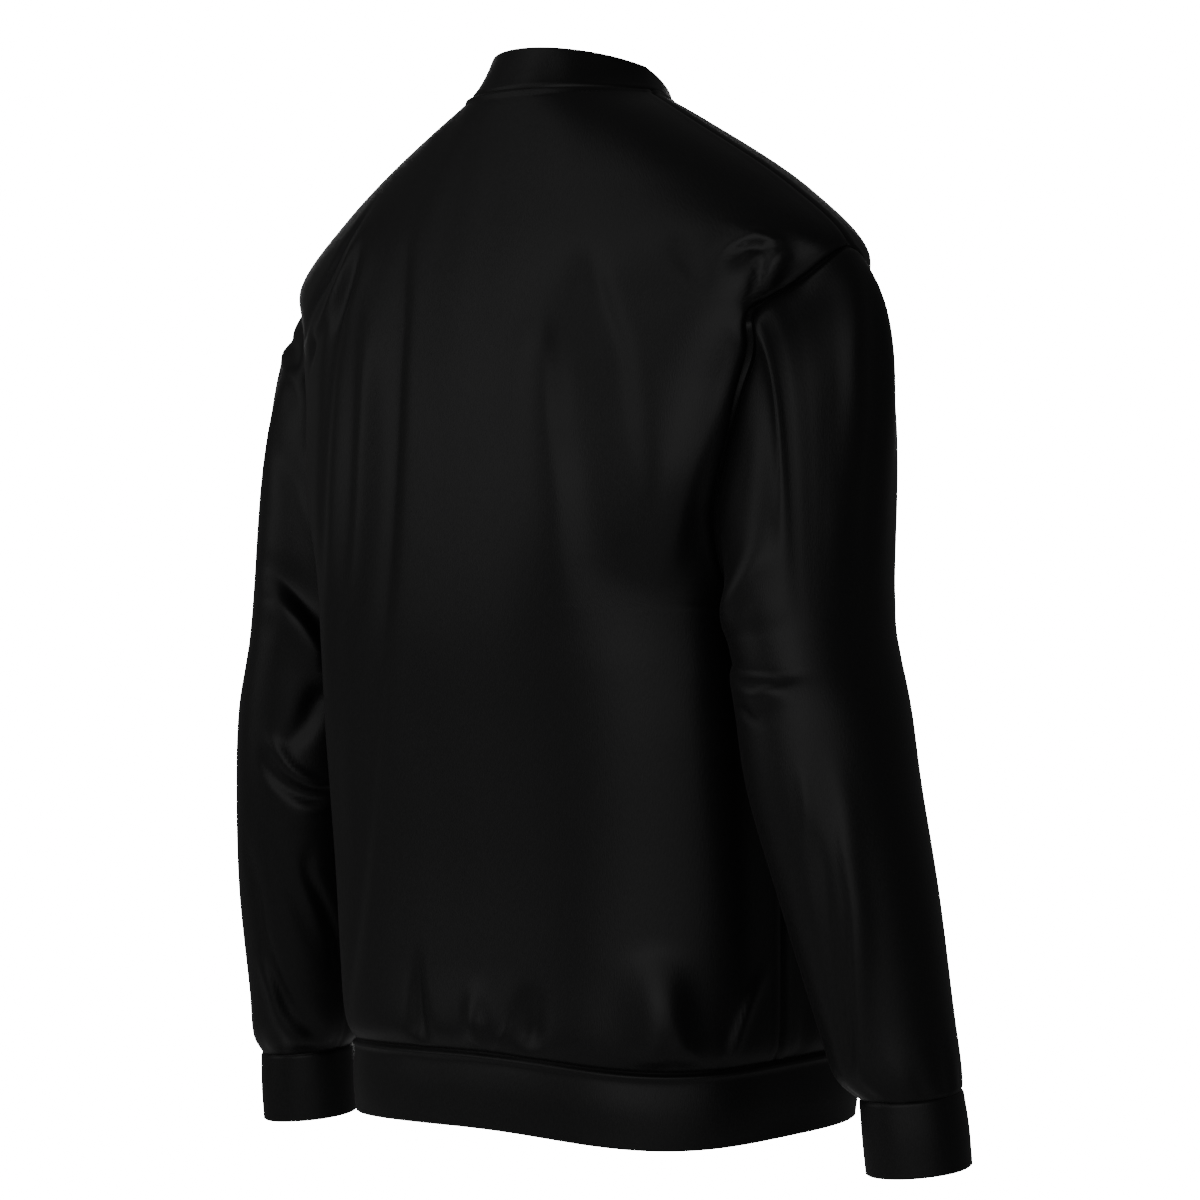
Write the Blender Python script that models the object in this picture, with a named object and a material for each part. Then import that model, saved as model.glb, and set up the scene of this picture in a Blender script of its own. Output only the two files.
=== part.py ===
"""A hollow, zipped bomber jacket, filled out as if worn, with its arms hanging at its sides.

Metres, +Z up, the front faces -Y and the wearer's left is +X. The origin is on the neck's axis,
level with the neck seam at the centre back. Every sewn piece is a thin wall of cloth: its outer
surface is a grid of points worked out from the tables of sections below, its inner surface lies
one thickness of cloth inside, and the pieces stand a seam's gap apart.
"""

import math

import bmesh
import bpy
import numpy as np

# Driving sizes of the cloth and the seams.
CLOTH = 0.0016
SEAM_GAP = 0.0003
TAPE_THICKNESS = 0.0010
WELD = 0.00001

# Steps round a ring, in degrees, and along the sections, over which slopes are taken.
STEP_DEG = 0.2
STEP_LEVEL = 0.02
SHARP_DEG = 40.0

# The body's sections from the hem seam to the neck seam. "rows" is the number of rows of mesh up to
# the next section, the heights and depths are given at the back, side and front, "square" is the
# power of the rounded oval, where 2 is an ellipse, and "rise" is the power with which the height
# passes from the side to the back or front.
BODY_COLUMNS = (
    "rows", "z_back", "z_side", "z_front", "half_width", "y_side", "y_back", "y_front", "square", "rise",
)
BODY = (
    (1, -0.619, -0.619, -0.612, 0.172, -0.027, 0.103, -0.167, 2.6, 2),
    (2, -0.603, -0.603, -0.596, 0.178, -0.027, 0.108, -0.171, 2.6, 2),
    (2, -0.560, -0.560, -0.554, 0.179, -0.027, 0.106, -0.170, 2.7, 2),
    (3, -0.500, -0.500, -0.496, 0.179, -0.027, 0.107, -0.168, 2.8, 2),
    (3, -0.420, -0.420, -0.418, 0.180, -0.027, 0.113, -0.170, 2.9, 2),
    (3, -0.335, -0.335, -0.335, 0.181, -0.027, 0.122, -0.176, 2.9, 2),
    (3, -0.260, -0.260, -0.262, 0.209, -0.020, 0.124, -0.165, 2.6, 2),
    (2, -0.190, -0.194, -0.200, 0.218, -0.011, 0.119, -0.145, 2.4, 2),
    (3, -0.140, -0.151, -0.155, 0.238, -0.005, 0.110, -0.126, 2.2, 2),
    (2, -0.098, -0.111, -0.118, 0.256, -0.002, 0.099, -0.110, 2.1, 2),
    (3, -0.055, -0.069, -0.085, 0.203, 0.001, 0.085, -0.100, 2.0, 2),
    (2, -0.022, -0.022, -0.060, 0.117, 0.002, 0.072, -0.088, 2.0, 2),
    (0, 0.002, 0.001, -0.040, 0.070, -0.005, 0.062, -0.075, 2.0, 2),
)
# The hem hangs a little lower round the wearer's right of the back: where, how widely, how far.
HEM_DIP_DEG = -62.0
HEM_DIP_SPREAD_DEG = 30.0
HEM_DIP = 0.010
HEM_DIP_FADE = 0.16
UNDERARM = 5
SHOULDER_TIP = 9
NECK = 12

# The side seam's angle round the body, from the centre back, and how far the armhole's two edges
# cut in from it.
SIDE_SEAM_DEG = 87.0
SHOULDER_SEAM_DEG = 90.0
ARMHOLE_CUT_BACK_DEG = 18.0
ARMHOLE_CUT_FRONT_DEG = 14.0
ARMHOLE_BOTTOM_POWER = 0.4
ARMHOLE_ROUNDNESS = 0.6
CUT_REACH_POWER = 3

BACK_COLUMNS = 24
FRONT_COLUMNS = 9
COLLAR_COLUMNS = 36
BAND_COLUMNS = 48

# The sleeve's sections, down the left arm. The first is the armhole's own edge.
SLEEVE_COLUMNS = ("rows", "x", "y", "z", "half_side", "half_depth", "front_rise")
SLEEVE = (
    (2, 0.2335, 0.0115, -0.362, 0.0475, 0.0600, 0.00),
    (2, 0.2424, 0.0115, -0.400, 0.0500, 0.0595, 0.02),
    (3, 0.2496, 0.0086, -0.450, 0.0500, 0.0580, 0.05),
    (3, 0.2644, 0.0004, -0.520, 0.0460, 0.0520, 0.08),
    (2, 0.2757, -0.0102, -0.590, 0.0410, 0.0447, 0.11),
    (1, 0.2820, -0.0145, -0.622, 0.0385, 0.0410, 0.12),
    (0, 0.2890, -0.0180, -0.637, 0.0318, 0.0328, 0.13),
)
CUFF = (
    (1, 0.2890, -0.0180, -0.637, 0.0318, 0.0328, 0.13),
    (1, 0.2905, -0.0205, -0.660, 0.0325, 0.0335, 0.13),
    (0, 0.2915, -0.0230, -0.683, 0.0322, 0.0332, 0.13),
)
CAP_ROWS = 9
CAP_REACH = 0.27
# Which way the sleeve leaves the armhole, from the underarm (0) up to the shoulder tip (1).
LEAVE_COLUMNS = ("height", "out", "aside", "down")
LEAVE = (
    (0.00, 0.80, 0.00, 0.60),
    (0.30, 0.93, 0.22, 0.30),
    (0.60, 0.93, 0.25, 0.27),
    (0.85, 0.90, 0.15, 0.42),
    (1.00, 0.72, 0.00, 0.69),
)

# The collar's and the hem band's rings, from the bottom up, in the body's columns.
COLLAR = (
    (1, 0.002, 0.001, -0.040, 0.0700, -0.005, 0.0620, -0.0750, 2.0, 2),
    (1, 0.016, 0.010, -0.024, 0.0640, -0.008, 0.0540, -0.0725, 2.0, 1.5),
    (0, 0.030, 0.018, -0.008, 0.0600, -0.0115, 0.0470, -0.0700, 2.0, 1),
)
HEM_BAND = (
    (1, -0.667, -0.667, -0.656, 0.171, -0.027, 0.102, -0.166, 2.6, 2),
    (1, -0.643, -0.643, -0.634, 0.173, -0.027, 0.104, -0.168, 2.6, 2),
    (0, -0.619, -0.619, -0.612, 0.172, -0.027, 0.103, -0.167, 2.6, 2),
)

# The zip: half widths from the centre front.
COIL_EDGE = 0.0025
TAPE_INNER = 0.0028
FRONT_EDGE = 0.0060
TAPE_OUTER = 0.0150
COIL_DEPTH = 0.0020
SLIDER_SIZE = (0.0090, 0.0016, 0.0130)
SLIDER_POST = (0.0040, 0.0040)
SLIDER_DROP = 0.0100
BRIDGE_WIDTH = 0.0020
BRIDGE_RISE = 0.0034
BRIDGE_LENGTH = 0.0080
BRIDGE_BAR = 0.0010
PULL_LENGTH = 0.0240
PULL_WIDTH = 0.0064
PULL_THICKNESS = 0.0014
PULL_BAR = 0.0014
PULL_HOLE_WIDTH = 0.0030
PULL_HOLE_LENGTH = 0.0070
PULL_CORNER = 0.0006
PULL_HOLE_CORNER = 0.0004
CORNER_POINTS = 4

# The largest folds, each one soft trough (negative) or ridge along a line on the piece. On the body
# "across" is the distance round from the centre back, positive to the wearer's left; on a sleeve
# it is the distance round from the outer line, positive to the back. Both are measured as if the
# body and the sleeve were round, with the radii below.
BODY_RADIUS = 0.16
SLEEVE_RADIUS = 0.055
FOLD_FADE_POWER = 1.5
FOLD_COLUMNS = ("across_0", "z_0", "across_1", "z_1", "half_width", "height")
BACK_FOLDS = (
    (0.110, -0.040, 0.036, -0.260, 0.011, 0.0040),
    (0.030, -0.200, 0.112, -0.600, 0.012, 0.0045),
    (-0.138, -0.085, -0.153, -0.290, 0.011, -0.0035),
    (-0.105, -0.130, -0.136, -0.470, 0.011, -0.0035),
    (-0.196, -0.170, -0.150, -0.340, 0.016, 0.0035),
    (-0.212, -0.080, -0.222, -0.180, 0.008, 0.0040),
    (0.176, -0.060, 0.168, -0.200, 0.010, 0.0035),
    (0.142, -0.060, 0.116, -0.230, 0.010, -0.0035),
)
FRONT_FOLDS = (
    (0.330, -0.130, 0.420, -0.330, 0.013, 0.0040),
    (0.310, -0.190, 0.370, -0.430, 0.012, -0.0035),
    (0.440, -0.180, 0.450, -0.560, 0.013, 0.0035),
    (-0.330, -0.140, -0.410, -0.350, 0.013, 0.0040),
    (-0.315, -0.200, -0.380, -0.400, 0.012, -0.0035),
    (-0.440, -0.200, -0.455, -0.580, 0.013, 0.0035),
)
SLEEVE_FOLDS = (
    (0.000, -0.110, 0.008, -0.290, 0.010, 0.0030),
    (0.030, -0.120, 0.030, -0.290, 0.010, -0.0030),
    (0.080, -0.290, 0.150, -0.360, 0.011, 0.0040),
    (0.060, -0.375, 0.160, -0.380, 0.008, -0.0030),
    (0.050, -0.400, 0.165, -0.430, 0.010, 0.0035),
    (-0.060, -0.330, -0.150, -0.390, 0.012, 0.0030),
    (0.060, -0.560, 0.150, -0.640, 0.012, 0.0030),
)

CLOTH_COLOUR = (0.012, 0.012, 0.013, 1.0)
TAPE_COLOUR = (0.010, 0.010, 0.010, 1.0)
METAL_COLOUR = (0.045, 0.045, 0.048, 1.0)
CLOTH_ROUGHNESS = 0.55
TAPE_ROUGHNESS = 0.80
COIL_ROUGHNESS = 0.45
METAL_ROUGHNESS = 0.35


# ---------------------------------------------------------------- general shapes


def smooth_rows(table, at):
    """Rows of the table at any place between its rows, on smooth curves through all of them.

    Each column is a cubic whose slope at a row is the mean slope to its two neighbours.
    """
    values = np.array(table, float)
    last = len(values) - 1
    slope = np.gradient(values, axis=0)
    at = np.clip(np.asarray(at, float), 0, last)
    i = np.minimum(at.astype(int), last - 1)
    t = (at - i)[..., None]
    a, b, sa, sb = values[i], values[i + 1], slope[i], slope[i + 1]
    return (
        a * (1 + 2 * t) * (1 - t) ** 2
        + sa * t * (1 - t) ** 2
        + b * t * t * (3 - 2 * t)
        - sb * t * t * (1 - t)
    )


def levels_of(table):
    """The places of the mesh's rows on a table of sections, counted in sections."""
    levels = [0.0]
    for i, row in enumerate(table[:-1]):
        levels += [i + (k + 1) / row[0] for k in range(row[0])]
    return np.array(levels)


def oval(table, around_deg, level):
    """A point on the rounded oval rings of a table of body sections.

    around_deg runs from the centre back to the wearer's left. The radius follows a superellipse,
    and the height passes from the side's to the back's or the front's.
    """
    row = smooth_rows(table, level)
    z_hem_seam = BODY[0][1]
    columns = np.moveaxis(row[..., 1:], -1, 0)
    z_back, z_side, z_front, half_width, y_side, y_back, y_front, square, rise = columns
    angle = np.radians(around_deg)
    s, c = np.sin(angle), np.cos(angle)
    depth = np.where(c > 0, y_back - y_side, y_side - y_front)
    radius = (np.abs(c / depth) ** square + np.abs(s / half_width) ** square) ** (-1 / square)
    z = z_side + np.where(c > 0, z_back - z_side, z_front - z_side) * np.abs(c) ** rise
    above_hem = np.clip(z - z_hem_seam, 0, None)
    dip = HEM_DIP * np.exp(-(((around_deg - HEM_DIP_DEG) / HEM_DIP_SPREAD_DEG) ** 2))
    z = z - dip * np.exp(-((above_hem / HEM_DIP_FADE) ** 2))
    return np.stack([radius * s, y_side + radius * c, z], axis=-1)


def normals_of(surface, u, v):
    """Outward unit normals of surface(u, v), from small steps along both of its parameters."""
    along_u = surface(u + STEP_DEG, v) - surface(u - STEP_DEG, v)
    along_v = surface(u, v + STEP_LEVEL) - surface(u, v - STEP_LEVEL)
    n = np.cross(along_v, along_u)
    return n / np.linalg.norm(n, axis=-1, keepdims=True)


def level_out(normal):
    """Normals turned level, so that a wall is cut square to an upright one."""
    flat = normal * (1, 1, 0)
    return flat / np.linalg.norm(flat, axis=-1, keepdims=True)


def fold_relief(across, up, folds):
    """How far the folds lift the cloth: the sum of soft ridges along straight lines.

    A ridge is a bell curve across its line and fades out smoothly at its two ends.
    """
    relief = np.zeros(np.broadcast(across, up).shape)
    for across_0, z_0, across_1, z_1, half_width, height in folds:
        length = math.hypot(across_1 - across_0, z_1 - z_0)
        da, dz = (across_1 - across_0) / length, (z_1 - z_0) / length
        along = ((across - across_0) * da + (up - z_0) * dz) / length
        off = (across - across_0) * dz - (up - z_0) * da
        fade = np.clip(4 * along * (1 - along), 0, None) ** FOLD_FADE_POWER
        relief += height * fade * np.exp(-((off / half_width) ** 2))
    return relief


def material(name, colour, roughness, metallic=0.0):
    mat = bpy.data.materials.new(name)
    mat.use_nodes = True
    shader = mat.node_tree.nodes["Principled BSDF"]
    shader.inputs["Base Color"].default_value = colour
    shader.inputs["Roughness"].default_value = roughness
    shader.inputs["Metallic"].default_value = metallic
    return mat


def add_object(name, mesh, mat):
    mesh.materials.append(mat)
    mesh.shade_smooth()
    mesh.set_sharp_from_angle(angle=math.radians(SHARP_DEG))
    piece = bpy.data.objects.new(name, mesh)
    jacket.objects.link(piece)
    return piece


def cloth_wall(name, outer, inner, mat, wraps=False):
    """A closed wall between an outer and an inner grid of points, with a rim along its edges."""
    rows, columns = outer.shape[:2]
    points = np.concatenate([outer.reshape(-1, 3), inner.reshape(-1, 3)])
    index = np.arange(rows * columns).reshape(rows, columns)
    beside = np.roll(index, -1, axis=1) if wraps else index[:, 1:]
    index = index if wraps else index[:, :-1]
    far = rows * columns
    faces = [*zip(*(a.ravel().tolist() for a in (index[:-1], beside[:-1], beside[1:], index[1:])))]
    faces += [tuple(i + far for i in reversed(face)) for face in faces]
    bottom = [*zip(index[0].tolist(), beside[0].tolist())]
    top = [*zip(beside[-1].tolist(), index[-1].tolist())]
    sides = []
    if not wraps:
        first = [k * columns for k in range(rows)]
        last = [k * columns + columns - 1 for k in range(rows)]
        sides = [*zip(first[1:], first[:-1]), *zip(last[:-1], last[1:])]
    faces += [(b, a, a + far, b + far) for a, b in bottom + top + sides]
    mesh = bpy.data.meshes.new(name)
    mesh.from_pydata(points.tolist(), [], faces)
    bm = bmesh.new()
    bm.from_mesh(mesh)
    bmesh.ops.recalc_face_normals(bm, faces=bm.faces)
    bm.to_mesh(mesh)
    bm.free()
    return add_object(name, mesh, mat)


# ---------------------------------------------------------------- the body's surface


def body_outer(around_deg, level):
    """A point on the body's outer surface, with its folds."""
    level = np.clip(level, 0, NECK)
    base = oval(BODY, around_deg, level)
    plain = normals_of(lambda u, v: oval(BODY, u, v), around_deg, level)
    across = np.radians(around_deg) * BODY_RADIUS
    back = fold_relief(across, base[..., 2], BACK_FOLDS)
    front = fold_relief(across, base[..., 2], FRONT_FOLDS)
    return base + plain * (back + front)[..., None]


def armhole_height(level):
    """0 at the underarm and below, 1 at the shoulder tip and above."""
    return np.clip((level - UNDERARM) / (SHOULDER_TIP - UNDERARM), 0, 1)


def side_edge(level, cut_deg):
    """The angle of a panel's edge: side seam, then the armhole's hollow curve, then shoulder seam."""
    height = armhole_height(level)
    hollow = np.clip(np.sin(np.pi * height**ARMHOLE_BOTTOM_POWER), 0, 1) ** ARMHOLE_ROUNDNESS
    return SIDE_SEAM_DEG + (SHOULDER_SEAM_DEG - SIDE_SEAM_DEG) * height + cut_deg * hollow


def angle_at_front(table, level, half_width):
    """The angle round from the centre back at which a ring is half_width from the centre front."""
    row = smooth_rows(table, level)
    return 180 - np.degrees(np.arcsin(half_width / (row[..., 5] - row[..., 7])))


def gap_angle(table, around_deg, level):
    """Half of a seam's gap as an angle round the ring."""
    ahead = oval(table, around_deg + STEP_DEG, level)
    behind = oval(table, around_deg - STEP_DEG, level)
    return SEAM_GAP * STEP_DEG / np.linalg.norm(ahead - behind, axis=-1)


def body_panel(name, around_deg, levels, mat):
    """A panel of the body over a grid of angles, one row of angles for each level."""
    level = np.broadcast_to(levels[:, None], around_deg.shape)
    outer = body_outer(around_deg, level)
    normal = normals_of(body_outer, around_deg, level)
    # At the hem seam the wall is cut square to the band.
    normal[0] = level_out(normal[0])
    outer[0, :, 2] += SEAM_GAP
    return cloth_wall(name, outer, outer - CLOTH * normal, mat)


def drawn_in(plain, edge, share):
    """Angles across a panel, where the armhole's cut draws in only the columns near its edge."""
    return plain + (edge - SIDE_SEAM_DEG)[:, None] * share**CUT_REACH_POWER


def back_angles(levels):
    """Angles across the back, from the right side edge to the left."""
    edge = side_edge(levels, -ARMHOLE_CUT_BACK_DEG)
    edge = edge - gap_angle(BODY, edge, levels)
    share = np.linspace(-1, 1, BACK_COLUMNS + 1)
    return drawn_in(SIDE_SEAM_DEG * share, edge, share)


def front_angles(levels, side):
    """Angles across a front, from its zip edge to its side edge; side is 1 on the wearer's left."""
    edge = side_edge(levels, ARMHOLE_CUT_FRONT_DEG)
    edge = edge + gap_angle(BODY, edge, levels)
    zip_edge = angle_at_front(BODY, levels, FRONT_EDGE)
    tape_edge = angle_at_front(BODY, levels, TAPE_OUTER)
    share = np.linspace(0, 1, FRONT_COLUMNS + 1)
    plain = tape_edge[:, None] + (SIDE_SEAM_DEG - tape_edge)[:, None] * share
    return side * np.concatenate([zip_edge[:, None], drawn_in(plain, edge, share)], axis=1)


# ---------------------------------------------------------------- sleeves and cuffs


def armhole_loop():
    """The left armhole as a closed loop of the panels' own rows.

    It runs from the underarm up the back edge to the shoulder tip and down the front edge. Returns
    the points, the body's normals there, the height of each from 0 to 1, and 1 for the back edge or
    -1 for the front.
    """
    levels = [lv for lv in levels_of(BODY) if UNDERARM <= lv <= SHOULDER_TIP]
    levels = np.array(levels)
    back = side_edge(levels, -ARMHOLE_CUT_BACK_DEG)
    front = side_edge(levels, ARMHOLE_CUT_FRONT_DEG)
    around = np.concatenate([back, front[-2:0:-1]])
    level = np.concatenate([levels, levels[-2:0:-1]])
    edge_side = np.concatenate([np.ones(len(levels)), -np.ones(len(levels) - 2)])
    edge_side[[0, len(levels) - 1]] = 0
    normal = normals_of(body_outer, around, level)
    return body_outer(around, level), normal, armhole_height(level), edge_side


def ring_turns(loop):
    """The angle round the sleeve of each point of the loop, from the inner side through the back.

    The shoulder tip stands at half a turn, and the points are spread by their distance.
    """
    steps = np.linalg.norm(np.roll(loop, -1, axis=0) - loop, axis=1)
    half = len(loop) // 2
    back = np.concatenate([[0], np.cumsum(steps[:half])])
    front = np.concatenate([[0], np.cumsum(steps[half:])])
    return np.concatenate([np.pi * back[:-1] / back[-1], np.pi + np.pi * front[:-1] / front[-1]])


def sleeve_ring(row, turns):
    """One ring of a sleeve or cuff: an oval about the arm's line, its front a little raised."""
    x, y, z, half_side, half_depth, front_rise = np.moveaxis(row[..., 1:], -1, 0)[..., None]
    inwards, backwards = np.cos(turns) * half_side, np.sin(turns) * half_depth
    return np.stack([x - inwards, y + backwards, z - backwards * front_rise], axis=-1)


def sleeve_grid():
    """The left sleeve's outer points, from the armhole down to the cuff seam."""
    loop, loop_normal, height, edge_side = armhole_loop()
    turns = ring_turns(loop)
    rings = sleeve_ring(smooth_rows(SLEEVE, levels_of(SLEEVE)), turns)
    leave = np.array([np.interp(height, [r[0] for r in LEAVE], [r[k] for r in LEAVE]) for k in (1, 2, 3)])
    leave = np.stack([leave[0], leave[1] * edge_side, -leave[2]], axis=-1)
    leave /= np.linalg.norm(leave, axis=-1, keepdims=True)
    start = loop + SEAM_GAP * leave
    end = rings[0]
    arm = rings[1] - rings[0]
    arm /= np.linalg.norm(arm, axis=-1, keepdims=True)
    reach = CAP_REACH * np.linalg.norm(end - start, axis=-1, keepdims=True)
    t = np.linspace(0, 1, CAP_ROWS + 1)[:-1, None, None]
    cap = (
        (1 - t) ** 3 * start
        + 3 * (1 - t) ** 2 * t * (start + reach * leave)
        + 3 * (1 - t) * t * t * (end - reach * arm)
        + t**3 * end
    )
    grid = np.concatenate([cap, rings])
    across = (np.pi - turns) * SLEEVE_RADIUS
    relief = fold_relief(across, grid[..., 2], SLEEVE_FOLDS)
    relief[[0, -1]] = 0
    return grid + grid_normals(grid) * relief[..., None], loop_normal


def grid_normals(grid):
    """Outward normals of a grid that closes round its columns, with its rows going down."""
    around = np.roll(grid, -1, axis=1) - np.roll(grid, 1, axis=1)
    down = np.gradient(grid, axis=0)
    n = np.cross(around, down)
    n /= np.maximum(np.linalg.norm(n, axis=-1, keepdims=True), 1e-12)
    middle = grid.mean(axis=1, keepdims=True)
    outward = np.sign(np.sum(n * (grid - middle), axis=(1, 2)).sum())
    return n * outward


def add_sleeve(name, side, mat):
    """A sleeve: the left one's points, or their mirror image for the right."""
    outer, loop_normal = sleeve_grid()
    normal = grid_normals(outer)
    # At the armhole the wall turns to the body's own wall, as far as the two face one way.
    agree = np.clip(np.sum(normal[0] * loop_normal, axis=-1, keepdims=True), 0, 1)
    first = loop_normal * agree + normal[0] * (1 - agree)
    normal[0] = first / np.linalg.norm(first, axis=-1, keepdims=True)
    inner = outer - CLOTH * normal
    # At the cuff seam it is cut level, as the cuff is.
    inner[-1] = outer[-1] - CLOTH * level_out(normal[-1])
    mirror = np.array([side, 1, 1])
    return cloth_wall(name, outer * mirror, inner * mirror, mat, wraps=True)


def add_cuff(name, side, mat):
    loop = armhole_loop()[0]
    outer = sleeve_ring(smooth_rows(CUFF, levels_of(CUFF)), ring_turns(loop))
    outer[0, :, 2] -= SEAM_GAP
    inner = outer - CLOTH * level_out(grid_normals(outer))
    mirror = np.array([side, 1, 1])
    return cloth_wall(name, outer * mirror, inner * mirror, mat, wraps=True)


# ---------------------------------------------------------------- collar, band and zip


def ring_angles(table, levels, columns):
    """Angles round an open ring, from one side of the zip round the back to the other."""
    zip_edge = angle_at_front(table, levels, FRONT_EDGE)
    tape_edge = angle_at_front(table, levels, TAPE_OUTER)
    between = tape_edge[:, None] * np.linspace(-1, 1, columns + 1)
    return np.concatenate([-zip_edge[:, None], between, zip_edge[:, None]], axis=1)


def collar_outer(around_deg, level):
    return oval(COLLAR, around_deg, level)


def band_outer(around_deg, level):
    return oval(HEM_BAND, around_deg, level)


def add_open_ring(name, table, surface, columns, lift, mat):
    """The collar or the hem band: a strip round its rings, open at the zip.

    The bottom row is lifted clear of the seam below it.
    """
    levels = levels_of(table)
    around = ring_angles(table, levels, columns)
    level = np.broadcast_to(levels[:, None], around.shape)
    outer = surface(around, level)
    normal = level_out(normals_of(surface, around, level))
    outer[0, :, 2] += lift
    return cloth_wall(name, outer, outer - CLOTH * normal, mat)


def zip_line(half_width, drop_from_top=0.0):
    """Points up the jacket's front, half_width to the wearer's left of its middle.

    With them go the ways into the cloth, as long as it takes to pass one unit of wall: the walls
    are cut level at the hem seam, and mitred at the neck seam.
    """
    band_levels, body_levels, collar_levels = levels_of(HEM_BAND), levels_of(BODY), levels_of(COLLAR)
    band_at = angle_at_front(HEM_BAND, band_levels, half_width)
    body_at = angle_at_front(BODY, body_levels, half_width)
    collar_at = angle_at_front(COLLAR, collar_levels, half_width)
    body_normal = normals_of(body_outer, body_at, body_levels)
    body_normal[0] = level_out(body_normal[0])
    collar_normal = level_out(normals_of(collar_outer, collar_at, collar_levels))
    mitre = body_normal[-1] + collar_normal[0]
    collar_normal[0] = mitre / np.dot(mitre, body_normal[-1])
    band_normal = level_out(normals_of(band_outer, band_at, band_levels))
    points = np.concatenate(
        [
            band_outer(band_at, band_levels)[:-1],
            body_outer(body_at, body_levels)[:-1],
            collar_outer(collar_at, collar_levels),
        ]
    )
    normals = np.concatenate([band_normal[:-1], body_normal[:-1], collar_normal])
    if drop_from_top:
        step = points[-1] - points[-2]
        points[-1] = points[-1] - step * drop_from_top / np.linalg.norm(step)
    return points, normals


def add_tape(name, side, mat):
    """A zip tape, behind the front edge and as wide as the front's own turned edge."""
    lines = [zip_line(w) for w in (TAPE_INNER, FRONT_EDGE, TAPE_OUTER)]
    points = np.stack([line[0] for line in lines], axis=1)
    normal = np.stack([line[1] for line in lines], axis=1)
    behind = CLOTH + SEAM_GAP
    mirror = np.array([side, 1, 1])
    outer = (points - behind * normal) * mirror
    inner = (points - (behind + TAPE_THICKNESS) * normal) * mirror
    return cloth_wall(name, outer, inner, mat)


def add_coil(name, mat):
    """The closed coil, a bar up the middle that ends under the slider."""
    points, normal = zip_line(COIL_EDGE, SLIDER_DROP)
    mirror = np.array([-1, 1, 1])
    outer = np.stack([points * mirror, points], axis=1)
    inner = outer - COIL_DEPTH * np.stack([normal * mirror, normal], axis=1)
    return cloth_wall(name, outer, inner, mat)


def box_mesh(name, size, centre):
    bm = bmesh.new()
    bmesh.ops.create_cube(bm, size=1.0)
    bmesh.ops.scale(bm, vec=size, verts=bm.verts)
    bmesh.ops.translate(bm, vec=centre, verts=bm.verts)
    mesh = bpy.data.meshes.new(name)
    bm.to_mesh(mesh)
    bm.free()
    return mesh


def join_solids(piece, meshes):
    """Unites further solids with the piece, each as a Boolean union with a hidden cutter."""
    for i, mesh in enumerate(meshes):
        other = bpy.data.objects.new(f"{piece.name}_with_{i}", mesh)
        cutters.objects.link(other)
        other.parent = piece
        other.hide_render = True
        other.display_type = "WIRE"
        union = piece.modifiers.new(f"with_{i}", "BOOLEAN")
        union.operation = "UNION"
        union.object = other


def zip_frame():
    """The slider's place on the collar's front and its lean from upright, about the X axis."""
    points, normal = zip_line(0.0)
    along = points[-1] - points[-2]
    along /= np.linalg.norm(along)
    lean = math.atan2(along[1], along[2])
    place = points[-1] - along * (SLIDER_DROP - SLIDER_SIZE[2] / 2 + SEAM_GAP)
    return place, -lean


def add_slider(name, mat, place, lean):
    """A slider: plates before and behind the tapes, a post between them, and a bridge for the pull.

    In its own frame the zip runs along Z and the front faces -Y, with y = 0 on the cloth's face.
    """
    width, thick, length = SLIDER_SIZE
    front_y = -(2 * SEAM_GAP + thick / 2)
    back_y = CLOTH + TAPE_THICKNESS + 3 * SEAM_GAP + thick / 2
    post_width, post_length = SLIDER_POST
    post_size = (post_width, back_y - front_y, post_length)
    post_centre = (0, (front_y + back_y) / 2, (length - post_length) / 2)
    top_bar_y = -(2 * SEAM_GAP + thick + BRIDGE_RISE - BRIDGE_BAR / 2)
    leg_y = -(2 * SEAM_GAP + thick / 2 + BRIDGE_RISE / 2)
    leg_z = BRIDGE_LENGTH / 2 - BRIDGE_BAR / 2
    slider = add_object(name, box_mesh(name, (width, thick, length), (0, front_y, 0)), mat)
    leg = (BRIDGE_WIDTH, BRIDGE_RISE + thick / 2, BRIDGE_BAR)
    join_solids(
        slider,
        [
            box_mesh("back_plate", (width, thick, length), (0, back_y, 0)),
            box_mesh("post", post_size, post_centre),
            box_mesh("leg_top", leg, (0, leg_y + thick / 4, leg_z)),
            box_mesh("leg_bottom", leg, (0, leg_y + thick / 4, -leg_z)),
            box_mesh("bar", (BRIDGE_WIDTH, BRIDGE_BAR, BRIDGE_LENGTH), (0, top_bar_y, 0)),
        ],
    )
    slider.location = place
    slider.rotation_euler = (lean, 0, 0)
    return slider


def rounded_outline(curve, width, top, bottom, corner):
    """A closed outline with rounded corners, added to a flat curve."""
    points = []
    for turn, (across, up) in enumerate(((1, 1), (-1, 1), (-1, -1), (1, -1))):
        x = across * (width / 2 - corner)
        y = top - corner if up > 0 else bottom + corner
        for k in range(CORNER_POINTS):
            a = math.pi / 2 * (turn + k / (CORNER_POINTS - 1))
            points.append((x + corner * math.cos(a), y + corner * math.sin(a)))
    spline = curve.splines.new("POLY")
    spline.points.add(len(points) - 1)
    for point, (x, y) in zip(spline.points, points):
        point.co = (x, y, 0, 1)
    spline.use_cyclic_u = True


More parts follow.
